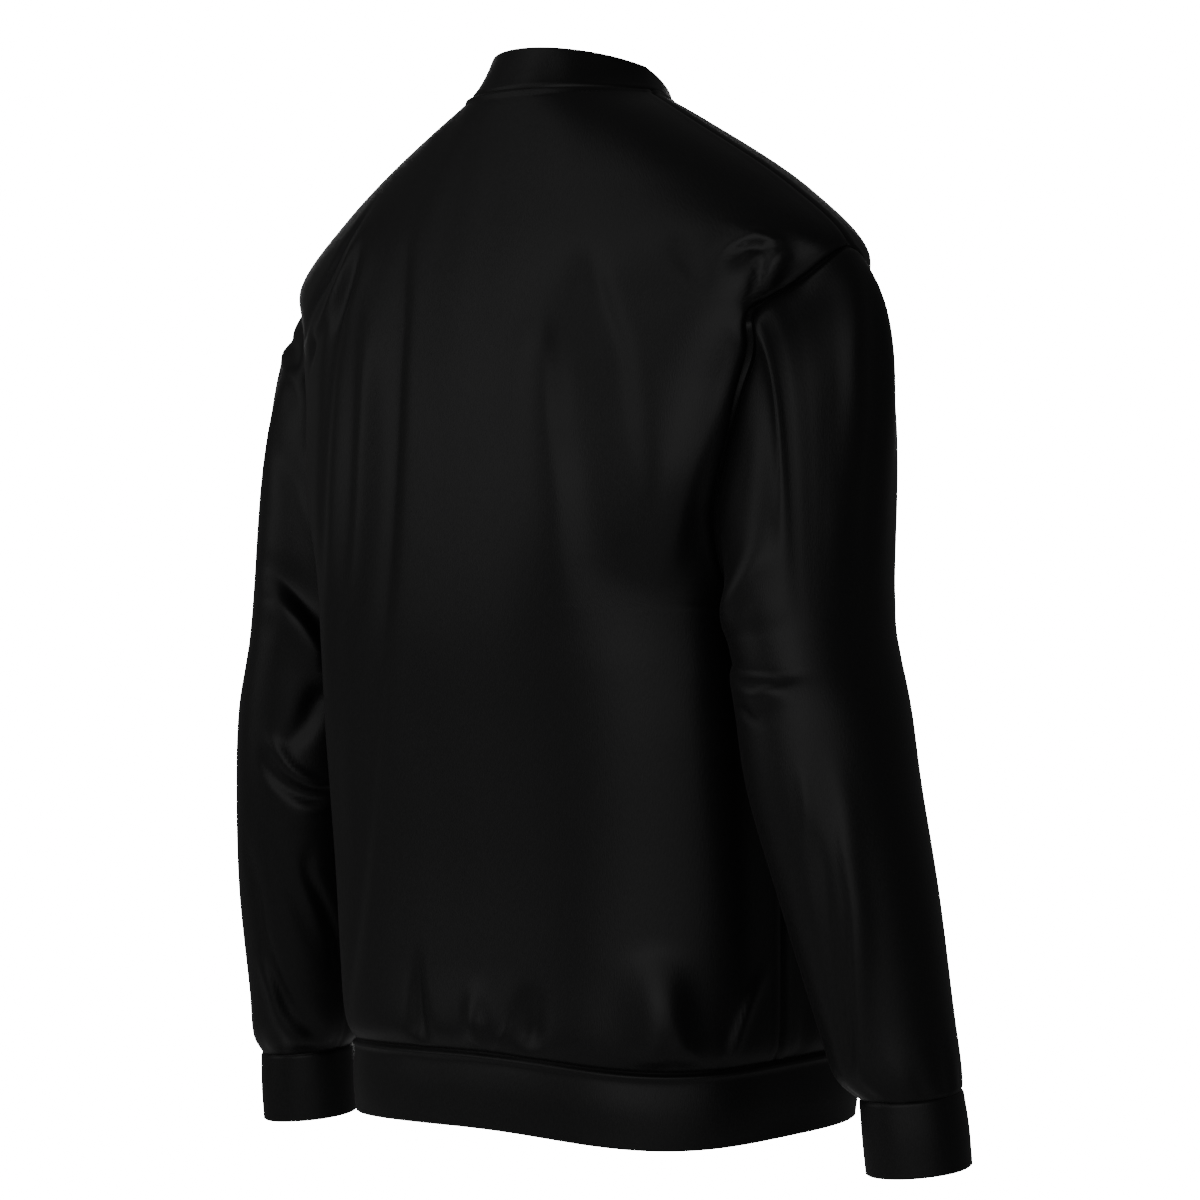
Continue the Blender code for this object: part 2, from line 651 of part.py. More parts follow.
def add_pull(name, mat, place, lean):
    """The pull tab: a flat tab whose top bar lies under the slider's bridge, where it turns."""
    curve = bpy.data.curves.new(name, "CURVE")
    curve.dimensions = "2D"
    curve.fill_mode = "BOTH"
    curve.extrude = PULL_THICKNESS / 2
    rounded_outline(curve, PULL_WIDTH, PULL_BAR / 2, -PULL_LENGTH, PULL_CORNER)
    hole_top = -PULL_BAR / 2
    rounded_outline(curve, PULL_HOLE_WIDTH, hole_top, hole_top - PULL_HOLE_LENGTH, PULL_HOLE_CORNER)
    flat = bpy.data.objects.new(name + "_flat", curve)
    jacket.objects.link(flat)
    bpy.context.view_layer.update()
    mesh = bpy.data.meshes.new_from_object(flat.evaluated_get(bpy.context.evaluated_depsgraph_get()))
    bpy.data.objects.remove(flat)
    mesh.name = name
    bm = bmesh.new()
    bm.from_mesh(mesh)
    bmesh.ops.remove_doubles(bm, verts=bm.verts, dist=WELD)
    bmesh.ops.recalc_face_normals(bm, faces=bm.faces)
    bm.to_mesh(mesh)
    bm.free()
    pull = add_object(name, mesh, mat)
    thick = SLIDER_SIZE[1]
    axis_y = -(2 * SEAM_GAP + thick + (BRIDGE_RISE - BRIDGE_BAR) / 2)
    c, s = math.cos(lean), math.sin(lean)
    pull.location = (place[0], place[1] + axis_y * c, place[2] + axis_y * s)
    pull.rotation_euler = (math.pi / 2 + lean, 0, 0)
    return pull


# ---------------------------------------------------------------- the jacket

for old in list(bpy.data.objects):
    bpy.data.objects.remove(old)
jacket = bpy.data.collections.new("bomber_jacket")
cutters = bpy.data.collections.new("cutters")
bpy.context.scene.collection.children.link(jacket)
bpy.context.scene.collection.children.link(cutters)

sewn = ("back", "front", "sleeve", "cuff", "collar", "band")
shell = {piece: material(piece, CLOTH_COLOUR, CLOTH_ROUGHNESS) for piece in sewn}
tape = material("zip_tape", TAPE_COLOUR, TAPE_ROUGHNESS)
coil = material("zip_coil", TAPE_COLOUR, COIL_ROUGHNESS)
metal = material("zip_metal", METAL_COLOUR, METAL_ROUGHNESS, 1.0)

body_levels = levels_of(BODY)
body_panel("back", back_angles(body_levels), body_levels, shell["back"])
for side, word in ((1, "left"), (-1, "right")):
    body_panel(f"front_{word}", front_angles(body_levels, side), body_levels, shell["front"])
    add_sleeve(f"sleeve_{word}", side, shell["sleeve"])
    add_cuff(f"cuff_{word}", side, shell["cuff"])
    add_tape(f"zip_tape_{word}", side, tape)
add_open_ring("collar", COLLAR, collar_outer, COLLAR_COLUMNS, SEAM_GAP, shell["collar"])
add_open_ring("hem_band", HEM_BAND, band_outer, BAND_COLUMNS, 0.0, shell["band"])
add_coil("zip_coil", coil)
slider_place, slider_lean = zip_frame()
add_slider("zip_slider", metal, slider_place, slider_lean)
add_pull("zip_pull", metal, slider_place, slider_lean)
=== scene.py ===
"""A black zip-front bomber jacket in smooth knit, filled out as worn, seen from behind on its right."""

import math

import bmesh
import bpy
import numpy as np
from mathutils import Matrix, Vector


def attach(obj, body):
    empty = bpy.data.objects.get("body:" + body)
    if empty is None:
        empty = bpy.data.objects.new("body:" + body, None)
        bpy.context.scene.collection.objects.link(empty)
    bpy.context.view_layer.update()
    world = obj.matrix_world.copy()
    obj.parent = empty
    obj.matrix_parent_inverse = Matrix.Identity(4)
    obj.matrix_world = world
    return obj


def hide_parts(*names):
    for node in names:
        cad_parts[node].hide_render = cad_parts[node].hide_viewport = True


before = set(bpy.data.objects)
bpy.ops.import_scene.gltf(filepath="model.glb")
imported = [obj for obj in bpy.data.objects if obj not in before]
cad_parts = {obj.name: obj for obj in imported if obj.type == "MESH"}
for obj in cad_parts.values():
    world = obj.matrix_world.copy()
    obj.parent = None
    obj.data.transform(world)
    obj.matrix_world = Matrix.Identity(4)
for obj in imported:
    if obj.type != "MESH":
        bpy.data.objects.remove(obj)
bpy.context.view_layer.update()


# ---------------------------------------------------------------- back
# The back is one panel of smooth black polyester knit, hanging from dropped shoulders to the hem
# band. It is pulled towards the armholes, so long soft folds fall from the shoulder blades, and it
# puckers a little where the band draws it in.

CLOTH = 0.0016
SEAM_GAP = 0.0003
# The body's rings from the hem up: heights at the back, side and front, half width, the y of the side,
# back and front, how square the ring is, and the power of its rise.
BODY = (
    (-0.619, -0.619, -0.612, 0.172, -0.027, 0.103, -0.167, 2.6, 2),
    (-0.603, -0.603, -0.596, 0.178, -0.027, 0.108, -0.171, 2.6, 2),
    (-0.560, -0.560, -0.554, 0.179, -0.027, 0.106, -0.170, 2.7, 2),
    (-0.500, -0.500, -0.496, 0.179, -0.027, 0.107, -0.168, 2.8, 2),
    (-0.420, -0.420, -0.418, 0.180, -0.027, 0.113, -0.170, 2.9, 2),
    (-0.335, -0.335, -0.335, 0.181, -0.027, 0.122, -0.176, 2.9, 2),
    (-0.260, -0.260, -0.262, 0.209, -0.020, 0.124, -0.165, 2.6, 2),
    (-0.190, -0.194, -0.200, 0.218, -0.011, 0.119, -0.145, 2.4, 2),
    (-0.140, -0.151, -0.155, 0.238, -0.005, 0.110, -0.126, 2.2, 2),
    (-0.098, -0.111, -0.118, 0.256, -0.002, 0.099, -0.110, 2.1, 2),
    (-0.055, -0.069, -0.085, 0.203, 0.001, 0.085, -0.100, 2.0, 2),
    (-0.022, -0.022, -0.060, 0.117, 0.002, 0.072, -0.088, 2.0, 2),
    (0.002, 0.001, -0.040, 0.070, -0.005, 0.062, -0.075, 2.0, 2),
)
UNDERARM, SHOULDER_TIP, NECK = 5, 9, 12
HEM_DIP, HEM_DIP_DEG, HEM_DIP_SPREAD_DEG, HEM_DIP_FADE = 0.010, -62.0, 30.0, 0.16
SIDE_SEAM_DEG, SHOULDER_SEAM_DEG = 87.0, 90.0
CUT_BACK_DEG, CUT_FRONT_DEG, CUT_BOTTOM_POWER, CUT_ROUNDNESS = 18.0, 14.0, 0.4, 0.6
PULL_DEG, PULL_AT, PULL_BELOW, PULL_ABOVE = 3.6, 0.735, 0.110, 0.065
LOW_PULL_DEG, LOW_PULL_AT, LOW_PULL_WIDTH = 1.4, 0.20, 0.12
BACK_PULL = {1: 0.3, -1: 1.0}
BODY_RADIUS = 0.16
HEM_FADE, NECK_FADE, BODY_DRIFT = 0.010, 0.012, 0.0005
SEAM_GROOVE, SEAM_RIDGE, HEM_GROOVE = 0.0009, 0.0004, 0.0012

# Each fold is a line of places on the cloth, all in millimetres: the place round from the centre back
# (to the wearer's left), the height, the half widths on the line's two sides, and how far it stands out.
BODY_FOLDS = {
    "the long crease down the wearer's left": (
        (90, -84, 18, 7.8, 0), (72, -112, 19.8, 8.8, -2.3), (52, -162, 21.6, 9.8, -3.6),
        (42, -227, 21.6, 9.8, -4.2), (44, -290, 21.6, 10.7, -4.2), (57, -356, 21.6, 11.7, -3.9),
        (80, -419, 19.8, 11.7, -3.6), (100, -485, 18, 11.7, -3.1), (123, -559, 12.6, 9.8, -2.3),
        (143, -614, 9, 9.8, 0),
    ),
    "a soft ridge to its left": (
        (115, -120, 8, 10, 0), (84, -178, 8, 11, 3.6), (71, -250, 8, 12, 4), (78, -317, 8, 12, 3.2),
        (105, -380, 8, 10, 0),
    ),
    "a hollow to its left": (
        (138, -116, 8, 8, 0), (129, -162, 9, 9, -3.6), (118, -215, 9, 9, -3.6), (112, -276, 9, 9, -2.9),
        (117, -333, 9, 9, 0),
    ),
    "left shoulder pull, hollow": (
        (169, -62, 4, 4, 0), (166, -86, 4, 4, -2.9), (164, -112, 4, 4, -2.9), (183, -141, 4, 4, -1.5),
    ),
    "left shoulder pull, ridge": (
        (156, -80, 5, 5, 0), (144, -109, 5, 5, 3.5), (154, -139, 5, 5, 2.7), (173, -152, 4, 4, 0),
    ),
    "left shoulder pull, lower hollow": (
        (145, -86, 4, 6, 0), (135, -117, 5, 7, -3.8), (137, -145, 6, 7, -3.8), (131, -165, 6, 7, 0),
    ),
    "left armhole pocket": ((173, -146, 4, 4, 0), (166, -158, 4, 5, -3.6), (165, -169, 4, 4, 0)),
    "valley, right edge": (
        (-142, -107, 12, 8, 0), (-143, -130, 13, 8.2, -4), (-146, -152, 14, 8.6, -4.6),
        (-150, -175, 15, 9, -4.4), (-150, -202, 16, 9.6, -4), (-150, -228, 16, 10, -3.5),
        (-152, -257, 16, 10.4, -2.8), (-151, -290, 16, 11, 0),
    ),
    "valley, left edge": (
        (-105, -145, 22, 9, 0), (-107, -172, 24, 9, 3.4), (-107, -198, 26, 10, 4.2),
        (-106, -224, 26, 11, 4), (-108, -263, 26, 12, 3.5), (-108, -300, 26, 12.4, 2.7),
        (-113, -350, 26, 12, 0),
    ),
    "valley, floor": (
        (-127, -125, 16, 16, 0), (-128, -174, 18, 18, -3.4), (-130, -231, 20, 20, -4),
        (-133, -293, 22, 22, -3.4), (-138, -371, 22, 22, 0),
    ),
    "short pull by the right shoulder": (
        (-188, -104, 4, 6, 0), (-189, -123, 4, 6, -2.4), (-197, -142, 4, 6, 0),
    ),
    "the great fold beside the right armhole": (
        (-214, -118, 21, 5.6, 0), (-211, -143, 25.2, 6.4, 8.7), (-205, -173, 29.4, 7.2, 13.1),
        (-197, -203, 31.5, 8, 13.1), (-186, -234, 31.5, 9.6, 12), (-175, -264, 31.5, 10.4, 9.8),
        (-168, -291, 31.5, 11.2, 6.5), (-160, -324, 31.5, 11.2, 0),
    ),
    "hook fold": (
        (-203, -123, 3, 3, 0), (-204, -117, 3, 3, 2.4), (-210, -111, 3, 3, 3.6), (-215, -107, 3, 3, 4.1),
        (-218, -111, 3, 3, 4.3), (-221, -115, 3, 3, 4.3), (-220, -124, 3, 3.5, 4.1),
        (-218, -135, 3, 3.5, 3.1), (-216, -146, 2.5, 3, 0),
    ),
    "hook fold, inside": (
        (-205, -127, 3.5, 3.5, 0), (-209, -117, 3.5, 3.5, -3.4), (-213, -115, 3, 3, -3.4),
        (-216, -115, 2.5, 2.5, -2.4),
    ),
    "slit": (
        (-216, -115, 2.2, 2.2, 0), (-215, -123, 2.2, 2.2, -4.5), (-214, -136, 2.2, 2.2, -5.5),
        (-213, -151, 2.4, 2.4, -5.5),
    ),
    "hollow beside the hook": ((-223, -106, 5, 5, 0), (-226, -115, 5, 5, -3.1), (-226, -126, 5, 5, -1.8)),
    "corner of back and side": (
        (-184, -281, 36, 17, 0), (-191, -331, 38, 17, 3.8), (-197, -394, 40, 18, 4.8),
        (-202, -470, 40, 18, 4.6), (-208, -543, 38, 17, 3.4), (-212, -605, 36, 16, 0),
    ),
    "hem hollow left": ((37, -556, 5, 5, 0), (37, -583, 8, 8, -4.8), (32, -615, 13, 13, -7.3)),
    "hem swell left": ((-24, -576, 10, 10, 0), (-32, -596, 11, 10, 5.6), (-32, -614, 12, 10, 5.6)),
    "hem hollow middle": ((-85, -575, 10, 12, 0), (-80, -599, 11, 13, -6.2), (-77, -622, 11, 13, -6.7)),
    "hem swell right": ((-164, -550, 16, 12, 0), (-166, -582, 17, 13, 9.6), (-169, -613, 18, 15, 12)),
    "hem pocket right": ((-169, -602, 4, 4, 0), (-169, -613, 5, 5, -3.8), (-171, -622, 6, 6, -4.8)),
    "tuck left": ((39, -605, 1.6, 1.6, 0), (44, -614, 1.6, 1.6, 2.9), (50, -618, 1.6, 1.6, 2.5)),
    "tuck middle": ((-62, -601, 2, 2, 0), (-57, -610, 2, 2, 3.6), (-47, -618, 2, 2, 2.9)),
    "tuck right": ((-181, -613, 2.4, 2.4, 0), (-184, -616, 2.4, 2.4, 2.9), (-189, -624, 2.4, 2.4, 1.8)),
    "streak on the side": ((-232, -561, 3, 4, 0), (-219, -583, 3, 4, 2.5), (-209, -611, 3, 4, 2.2)),
    "the swell west of the long crease": (
        (182, -58, 14, 14, 0), (142, -103, 22, 18, 4), (129, -162, 26, 20, 5.6), (104, -230, 28, 20, 6.2),
        (106, -303, 28, 20, 6.2), (128, -366, 26, 18, 5.6), (148, -433, 24, 16, 4.8),
        (151, -499, 20, 14, 4), (154, -566, 16, 12, 2.4), (151, -606, 14, 12, 0),
    ),
    "left front pull": (
        (345, -120, 10, 10, 0), (385, -200, 12, 12, 3), (420, -310, 13, 13, 2), (435, -380, 13, 13, 0),
    ),
    "left front hollow": (
        (318, -180, 8, 10, 0), (340, -270, 9, 11, -3), (362, -370, 10, 12, -2.2), (376, -450, 10, 12, 0),
    ),
    "left front fall": (
        (440, -170, 8, 22, 0), (448, -290, 9, 24, 2.6), (446, -430, 9, 24, 2.6), (452, -580, 8, 20, 0),
    ),
    "left side fall": ((262, -350, 10, 12, 0), (270, -440, 11, 13, 2.8), (276, -590, 10, 12, 0)),
    "left chest shoulder pull": ((330, -75, 6, 6, 0), (310, -120, 7, 7, 2), (300, -165, 6, 6, 0)),
    "right front pull": (
        (-335, -130, 10, 10, 0), (-372, -210, 12, 12, 3.2), (-408, -300, 13, 13, 2.2),
        (-430, -390, 13, 13, 0),
    ),
    "right front hollow": (
        (-312, -190, 10, 8, 0), (-336, -280, 11, 9, -2.8), (-360, -360, 12, 10, -2.4),
        (-384, -440, 12, 10, 0),
    ),
    "right front fall": (
        (-442, -190, 22, 8, 0), (-446, -310, 24, 9, 2.4), (-452, -450, 24, 9, 2.8), (-450, -590, 20, 8, 0),
    ),
    "right chest shoulder pull": ((-335, -78, 6, 6, 0), (-312, -125, 7, 7, 1.8), (-304, -172, 6, 6, 0)),
}
# Short puckers above the hem seam: place round the body, height of the pucker, half width, depth.
HEM_PUCKERS = (
    (-0.205, 0.036, 0.0050, 0.0014),
    (-0.262, 0.040, 0.0060, 0.0018),
    (-0.310, 0.046, 0.0055, 0.0020),
    (-0.362, 0.034, 0.0050, 0.0014),
    (-0.420, 0.044, 0.0060, 0.0018),
    (-0.462, 0.030, 0.0050, 0.0012),
    (0.190, 0.046, 0.0055, 0.0020),
    (0.232, 0.032, 0.0050, 0.0014),
    (0.278, 0.042, 0.0060, 0.0020),
    (0.330, 0.036, 0.0050, 0.0014),
    (0.385, 0.046, 0.0060, 0.0020),
    (0.440, 0.034, 0.0050, 0.0014),
)

# Where the cloth rolls over the armhole seam: side, levels from and to, distance from the seam,
# half width and height of the roll.
ROLL_FADE, ROLL_START = 0.5, 0.0022
ARMHOLE_ROLLS = (
    (-1, 5.4, 8.0, 0.0070, 0.0060, 0.0022),
    (1, 6.0, 8.0, 0.0080, 0.0070, 0.0012),
)

# The shoulder points hang in a little: place round the body, half width there, and how far in.
SHOULDER_EASE_LEVEL, SHOULDER_EASE_SPREAD = 8.7, 1.1
SHOULDER_EASE = ((-101.0, 13.0, 0.0080), (101.0, 13.0, 0.0070), (78.0, 10.0, 0.0060))


def smooth_rows(table, at):
    """Rows of a table at places between its rows: cubics whose slopes are the neighbours' mean."""
    values = np.array(table, float)
    last = len(values) - 1
    slope = np.gradient(values, axis=0)
    at = np.clip(np.asarray(at, float), 0, last)
    i = np.minimum(at.astype(int), last - 1)
    t = (at - i)[..., None]
    a, b, sa, sb = values[i], values[i + 1], slope[i], slope[i + 1]
    first = a * (1 + 2 * t) * (1 - t) ** 2 + sa * t * (1 - t) ** 2
    return first + b * t * t * (3 - 2 * t) - sb * t * t * (1 - t)


def oval(table, around_deg, level):
    """A point on a table's rounded oval rings; the angle runs from the centre back to the left.

    The radius is a superellipse's, and the height goes from the side's to the back's or front's with
    a power of the cosine, less a smooth dip of the hem on the wearer's right.
    """
    z_back, z_side, z_front, half_width, y_side, y_back, y_front, square, rise = np.moveaxis(
        smooth_rows(table, level), -1, 0
    )
    s, c = np.sin(np.radians(around_deg)), np.cos(np.radians(around_deg))
    depth = np.where(c > 0, y_back - y_side, y_side - y_front)
    radius = (np.abs(c / depth) ** square + np.abs(s / half_width) ** square) ** (-1 / square)
    z = z_side + np.where(c > 0, z_back - z_side, z_front - z_side) * np.abs(c) ** rise
    above = np.clip(z - BODY[0][0], 0, None)
    dip = HEM_DIP * np.exp(-(((around_deg - HEM_DIP_DEG) / HEM_DIP_SPREAD_DEG) ** 2))
    z = z - dip * np.exp(-((above / HEM_DIP_FADE) ** 2))
    return np.stack([radius * s, y_side + radius * c, z], axis=-1)


FOLD_STEP, FOLD_REACH, FOLD_END = 0.004, 2.5, 0.015


def fold_relief(across, up, folds, period):
    """How far folds lift the cloth, in metres: each is a bell curve square across a smooth line.

    The line goes through its table's rows. A point takes its offset from the line's nearest places,
    weighted by how near they are, and the height fades out past the line's ends.
    """
    across, up = np.broadcast_arrays(across, up)
    relief = np.zeros(across.shape)
    for rows in folds.values():
        rows = np.array(rows) / 1000
        length = np.linalg.norm(np.diff(rows[:, :2], axis=0), axis=1).sum()
        line = smooth_rows(rows, np.linspace(0, len(rows) - 1, int(length / FOLD_STEP) + 3))
        way = np.gradient(line[:, :2], axis=0)
        way /= np.linalg.norm(way, axis=1, keepdims=True)
        middle = line[:, 0].mean()
        turned = (across - middle + period / 2) % period - period / 2 + middle
        low = line[:, :2].min(axis=0) - FOLD_REACH * rows[:, 2:4].max()
        high = line[:, :2].max(axis=0) + FOLD_REACH * rows[:, 2:4].max()
        inside = (turned > low[0]) & (turned < high[0]) & (up > low[1]) & (up < high[1])
        aside = turned[inside][:, None] - line[:, 0]
        rise = up[inside][:, None] - line[:, 1]
        near = aside**2 + rise**2
        weight = np.exp((near.min(axis=1, keepdims=True) - near) / (2 * FOLD_STEP**2))
        weight /= weight.sum(axis=1, keepdims=True)
        off = rise * way[:, 0] - aside * way[:, 1]
        width = np.where(off > 0, line[:, 2], line[:, 3])
        bell = np.exp(-((off / width) ** 2) - (near - off**2) / FOLD_END**2)
        relief[inside] += (weight * line[:, 4] * bell).sum(axis=1)
    return relief


def cloth_drift(across, up, size):
    """The slight unevenness of hanging cloth: a sum of long, nearly upright waves."""
    waves = (
        (41, 9, 0.0, 0.5), (23, -17, 1.7, 0.4), (71, 12, 4.1, 0.3), (-97, 21, 2.6, 0.2), (8, 31, 0.9, 0.15)
    )
    return size * sum(share * np.sin(a * across + b * up + phase) for a, b, phase, share in waves)


def body_surface(around_deg, level):
    """A point on the body's outer surface: the oval's, moved out along its normal by the folds."""
    level = np.clip(level, 0, NECK)
    base = oval(BODY, around_deg, level)
    along_u = oval(BODY, around_deg + 0.3, level) - oval(BODY, around_deg - 0.3, level)
    along_v = oval(BODY, around_deg, level + 0.02) - oval(BODY, around_deg, level - 0.02)
    normal = np.cross(along_v, along_u)
    normal /= np.linalg.norm(normal, axis=-1, keepdims=True)
    across = np.radians(around_deg) * BODY_RADIUS
    up = base[..., 2]
    lift = fold_relief(across, up, BODY_FOLDS, 2 * math.pi * BODY_RADIUS)
    lift = lift + cloth_drift(across, up, BODY_DRIFT)
    above_hem = np.clip(up - oval(BODY, around_deg, np.zeros_like(level))[..., 2], 0, None)
    below_neck = np.clip(oval(BODY, around_deg, np.full_like(level, NECK))[..., 2] - up, 0, None)
    at_tip = ((level - SHOULDER_EASE_LEVEL) / SHOULDER_EASE_SPREAD) ** 2
    for place, half_width, ease in SHOULDER_EASE:
        lift -= ease * np.exp(-(((around_deg - place) / half_width) ** 2) - at_tip)
    lift *= (1 - np.exp(-((above_hem / HEM_FADE) ** 2))) * (1 - np.exp(-((below_neck / NECK_FADE) ** 2)))
    for place, rise, half_width, depth in HEM_PUCKERS:
        aside = (across - place) / (half_width * (0.7 + 0.6 * above_hem / rise))
        pucker = depth * np.exp(-(aside**2) - (above_hem / rise) ** 2)
        lift -= pucker * (1 - np.exp(-above_hem / 0.003))
    return base + normal * lift[..., None]


def grid_normals(grid, wraps):
    """Unit normals of a grid of points, from the differences along its rows and columns."""
    if wraps:
        along = np.roll(grid, -1, axis=1) - np.roll(grid, 1, axis=1)
    else:
        along = np.gradient(grid, axis=1)
    normal = np.cross(np.gradient(grid, axis=0), along)
    return normal / np.maximum(np.linalg.norm(normal, axis=-1, keepdims=True), 1e-12)


def from_edges(grid, axis):
    """The distance of each point from the nearer end of its row or column, in metres."""
    steps = np.linalg.norm(np.diff(grid, axis=axis), axis=-1)
    pad = [(0, 0), (0, 0)]
    pad[axis] = (1, 0)
    run = np.cumsum(np.pad(steps, pad), axis=axis)
    return np.minimum(run, np.take(run, [-1], axis=axis) - run)


def bells(distance, rows):
    """A sum of bell curves along a distance: each row is a height, its place and its half width."""
    return sum(height * np.exp(-(((distance - place) / width) ** 2)) for height, place, width in rows)


def seam_roll(distance, groove, ridge):
    """A seam's profile: the cloth dips into the seam, and its turned allowance lifts it beside it."""
    return bells(distance, ((ridge, 0.0050, 0.0028), (-groove, 0, 0.0016)))


def near_edges(length, count):
    """Shares from 0 to 1, close together within a centimetre of both ends for the seams' shape."""
    start = np.array([0, 0.0008, 0.0016, 0.0026, 0.0038, 0.0052, 0.0068, 0.0088])
    middle = np.linspace(0.011, length - 0.011, count - 2 * len(start))
    return np.concatenate([start, middle, length - start[::-1]]) / length


def even_levels(table, around_deg, shares):
    """Levels of a table's rings at even shares of the way up along one angle."""
    fine = np.linspace(0, len(table) - 1, 600)
    line = oval(table, np.full_like(fine, around_deg), fine)
    run = np.concatenate([[0], np.cumsum(np.linalg.norm(np.diff(line, axis=0), axis=1))])
    return np.interp(shares * run[-1], run, fine)


def cloth_wall(name, outer, wraps=False, thickness=CLOTH, flip=1):
    """A closed wall of cloth on a grid of points, with rounded top and bottom edges.

    The grid goes up the outside, over a rounded edge, down the inside and back round the other
    edge, and the ends of open pieces are closed. The map "cut" holds metres along both ways.
    """
    rows, columns = outer.shape[:2]
    normal = grid_normals(outer, wraps) * flip
    inner = outer - thickness * normal
    ends = []
    for near, next_in in ((-1, -2), (0, 1)):
        way = outer[near] - outer[next_in]
        way /= np.linalg.norm(way, axis=-1, keepdims=True)
        ends.append(((outer[near] + inner[near]) / 2 + 0.4 * thickness * way)[None])
    shell = np.concatenate([outer, ends[0], inner[::-1], ends[1]])
    index = np.arange(len(shell) * columns).reshape(len(shell), columns)
    middle = outer[rows // 2]
    closed = np.concatenate([middle, middle[:1]]) if wraps else middle
    u = np.concatenate([[0], np.cumsum(np.linalg.norm(np.diff(closed, axis=0), axis=1))])
    v = np.concatenate([[0], np.cumsum(np.linalg.norm(np.diff(outer[:, columns // 2], axis=0), axis=1))])
    v = np.concatenate([v, [v[-1] + thickness / 2], v[::-1] + thickness, [-thickness / 2]])
    if wraps:
        index = np.concatenate([index, index[:, :1]], axis=1)
    index = np.concatenate([index, index[:1]])
    uv = np.stack(np.broadcast_arrays(u[None, :], np.concatenate([v, v[:1]])[:, None]), axis=-1)
    quads = np.stack([index[:-1, :-1], index[:-1, 1:], index[1:, 1:], index[1:, :-1]], axis=-1).reshape(-1, 4)
    maps = np.stack([uv[:-1, :-1], uv[:-1, 1:], uv[1:, 1:], uv[1:, :-1]], axis=2).reshape(-1, 4, 2)
    faces, corners = quads.tolist(), maps.reshape(-1, 2)
    if not wraps:
        n = len(shell)
        for side in (0, columns - 1):
            out, back = index[:rows, side], index[n - 2 : rows - 1 : -1, side][:rows]
            strip = np.stack([out[:-1], out[1:], back[1:], back[:-1]], axis=-1)
            top_tip = [index[rows - 1, side], index[rows, side], index[rows + 1, side]]
            tips = [top_tip, [back[0], index[n - 1, side], out[0]]]
            if side:
                strip, tips = strip[:, ::-1], [tip[::-1] for tip in tips]
            faces += strip.tolist() + tips
            corners = np.concatenate([corners, np.tile(uv[0, side], (4 * len(strip) + 6, 1))])
    mesh = bpy.data.meshes.new(name)
    mesh.from_pydata(shell.reshape(-1, 3).tolist(), [], faces)
    mesh.uv_layers.new(name="cut").data.foreach_set("uv", corners.ravel())
    return placed(name, mesh)


def placed(name, mesh):
    """An object for a closed mesh, in its place, smooth, and with its faces turned outwards."""
    mesh.update()
    piece = bpy.data.objects.new(name, mesh)
    bpy.context.scene.collection.objects.link(piece)
    if signed_volume(mesh) < 0:
        mesh.flip_normals()
    mesh.shade_smooth()
    return piece


def signed_volume(mesh):
    """The volume that a closed mesh holds, below zero when its faces point inwards."""
    mesh.calc_loop_triangles()
    corner = np.empty(3 * len(mesh.loop_triangles), int)
    mesh.loop_triangles.foreach_get("vertices", corner)
    points = np.empty(3 * len(mesh.vertices))
    mesh.vertices.foreach_get("co", points)
    a, b, c = points.reshape(-1, 3)[corner.reshape(-1, 3)].swapaxes(0, 1)
    return np.einsum("ij,ij->", a, np.cross(b, c)) / 6


def side_edge(level, cut_deg, pull=0.0):
    """The angle of a panel's edge: side seam, the armhole's hollow curve, then the shoulder seam.

    With a pull from 0 to 1, the cloth that folds over the edge draws it in, most at three quarters up.
    """
    height = np.clip((level - UNDERARM) / (SHOULDER_TIP - UNDERARM), 0, 1)
    hollow = np.clip(np.sin(np.pi * height**CUT_BOTTOM_POWER), 0, 1) ** CUT_ROUNDNESS
    width = np.where(height < PULL_AT, PULL_BELOW, PULL_ABOVE)
    pulled = PULL_DEG * np.exp(-(((height - PULL_AT) / width) ** 2))
    pulled = pulled + LOW_PULL_DEG * np.exp(-(((height - LOW_PULL_AT) / LOW_PULL_WIDTH) ** 2))
    return SIDE_SEAM_DEG + (SHOULDER_SEAM_DEG - SIDE_SEAM_DEG) * height + cut_deg * hollow - pull * pulled


def armhole_fullness(from_side, level, side_now):
    """The body's cloth that rolls over the armhole seam: a fat ridge along it, on one side or both."""
    full = np.zeros(from_side.shape)
    for side, start, end, reach, half_width, height in ARMHOLE_ROLLS:
        window = np.clip((level - start) / ROLL_FADE, 0, 1) * np.clip((end - level) / ROLL_FADE, 0, 1)
        full += (side_now == side) * window * bells(from_side, ((height, reach, half_width),))
    return full * (1 - np.exp(-((from_side / ROLL_START) ** 2)))


# Below the neck seam the turned allowance makes a narrow ridge, held down by its stitching: heights,
# distances from the seam and half widths.
NECK_SEAM = ((0.0013, 0.0029, 0.0019), (-0.0005, 0.0060, 0.0009), (-0.0010, 0, 0.0012))

# A seam's turned edge reaches under its neighbour: how far along it, and how deep under its face.
ALLOWANCE = ((0.0080, 0.0038), (0.0045, 0.0034), (0.0015, 0.0028))


def outward(around_deg, level):
    """Unit normals of the body's surface, pointing out."""
    along_u = body_surface(around_deg + 0.4, level) - body_surface(around_deg - 0.4, level)
    along_v = body_surface(around_deg, level + 0.03) - body_surface(around_deg, level - 0.03)
    normal = np.cross(along_u, along_v)
    normal /= np.linalg.norm(normal, axis=-1, keepdims=True)
    around = np.radians(around_deg)
    away = np.stack([np.sin(around), np.cos(around), np.zeros_like(around)], axis=-1)
    return normal * np.sign(np.sum(normal * away, axis=-1, keepdims=True))


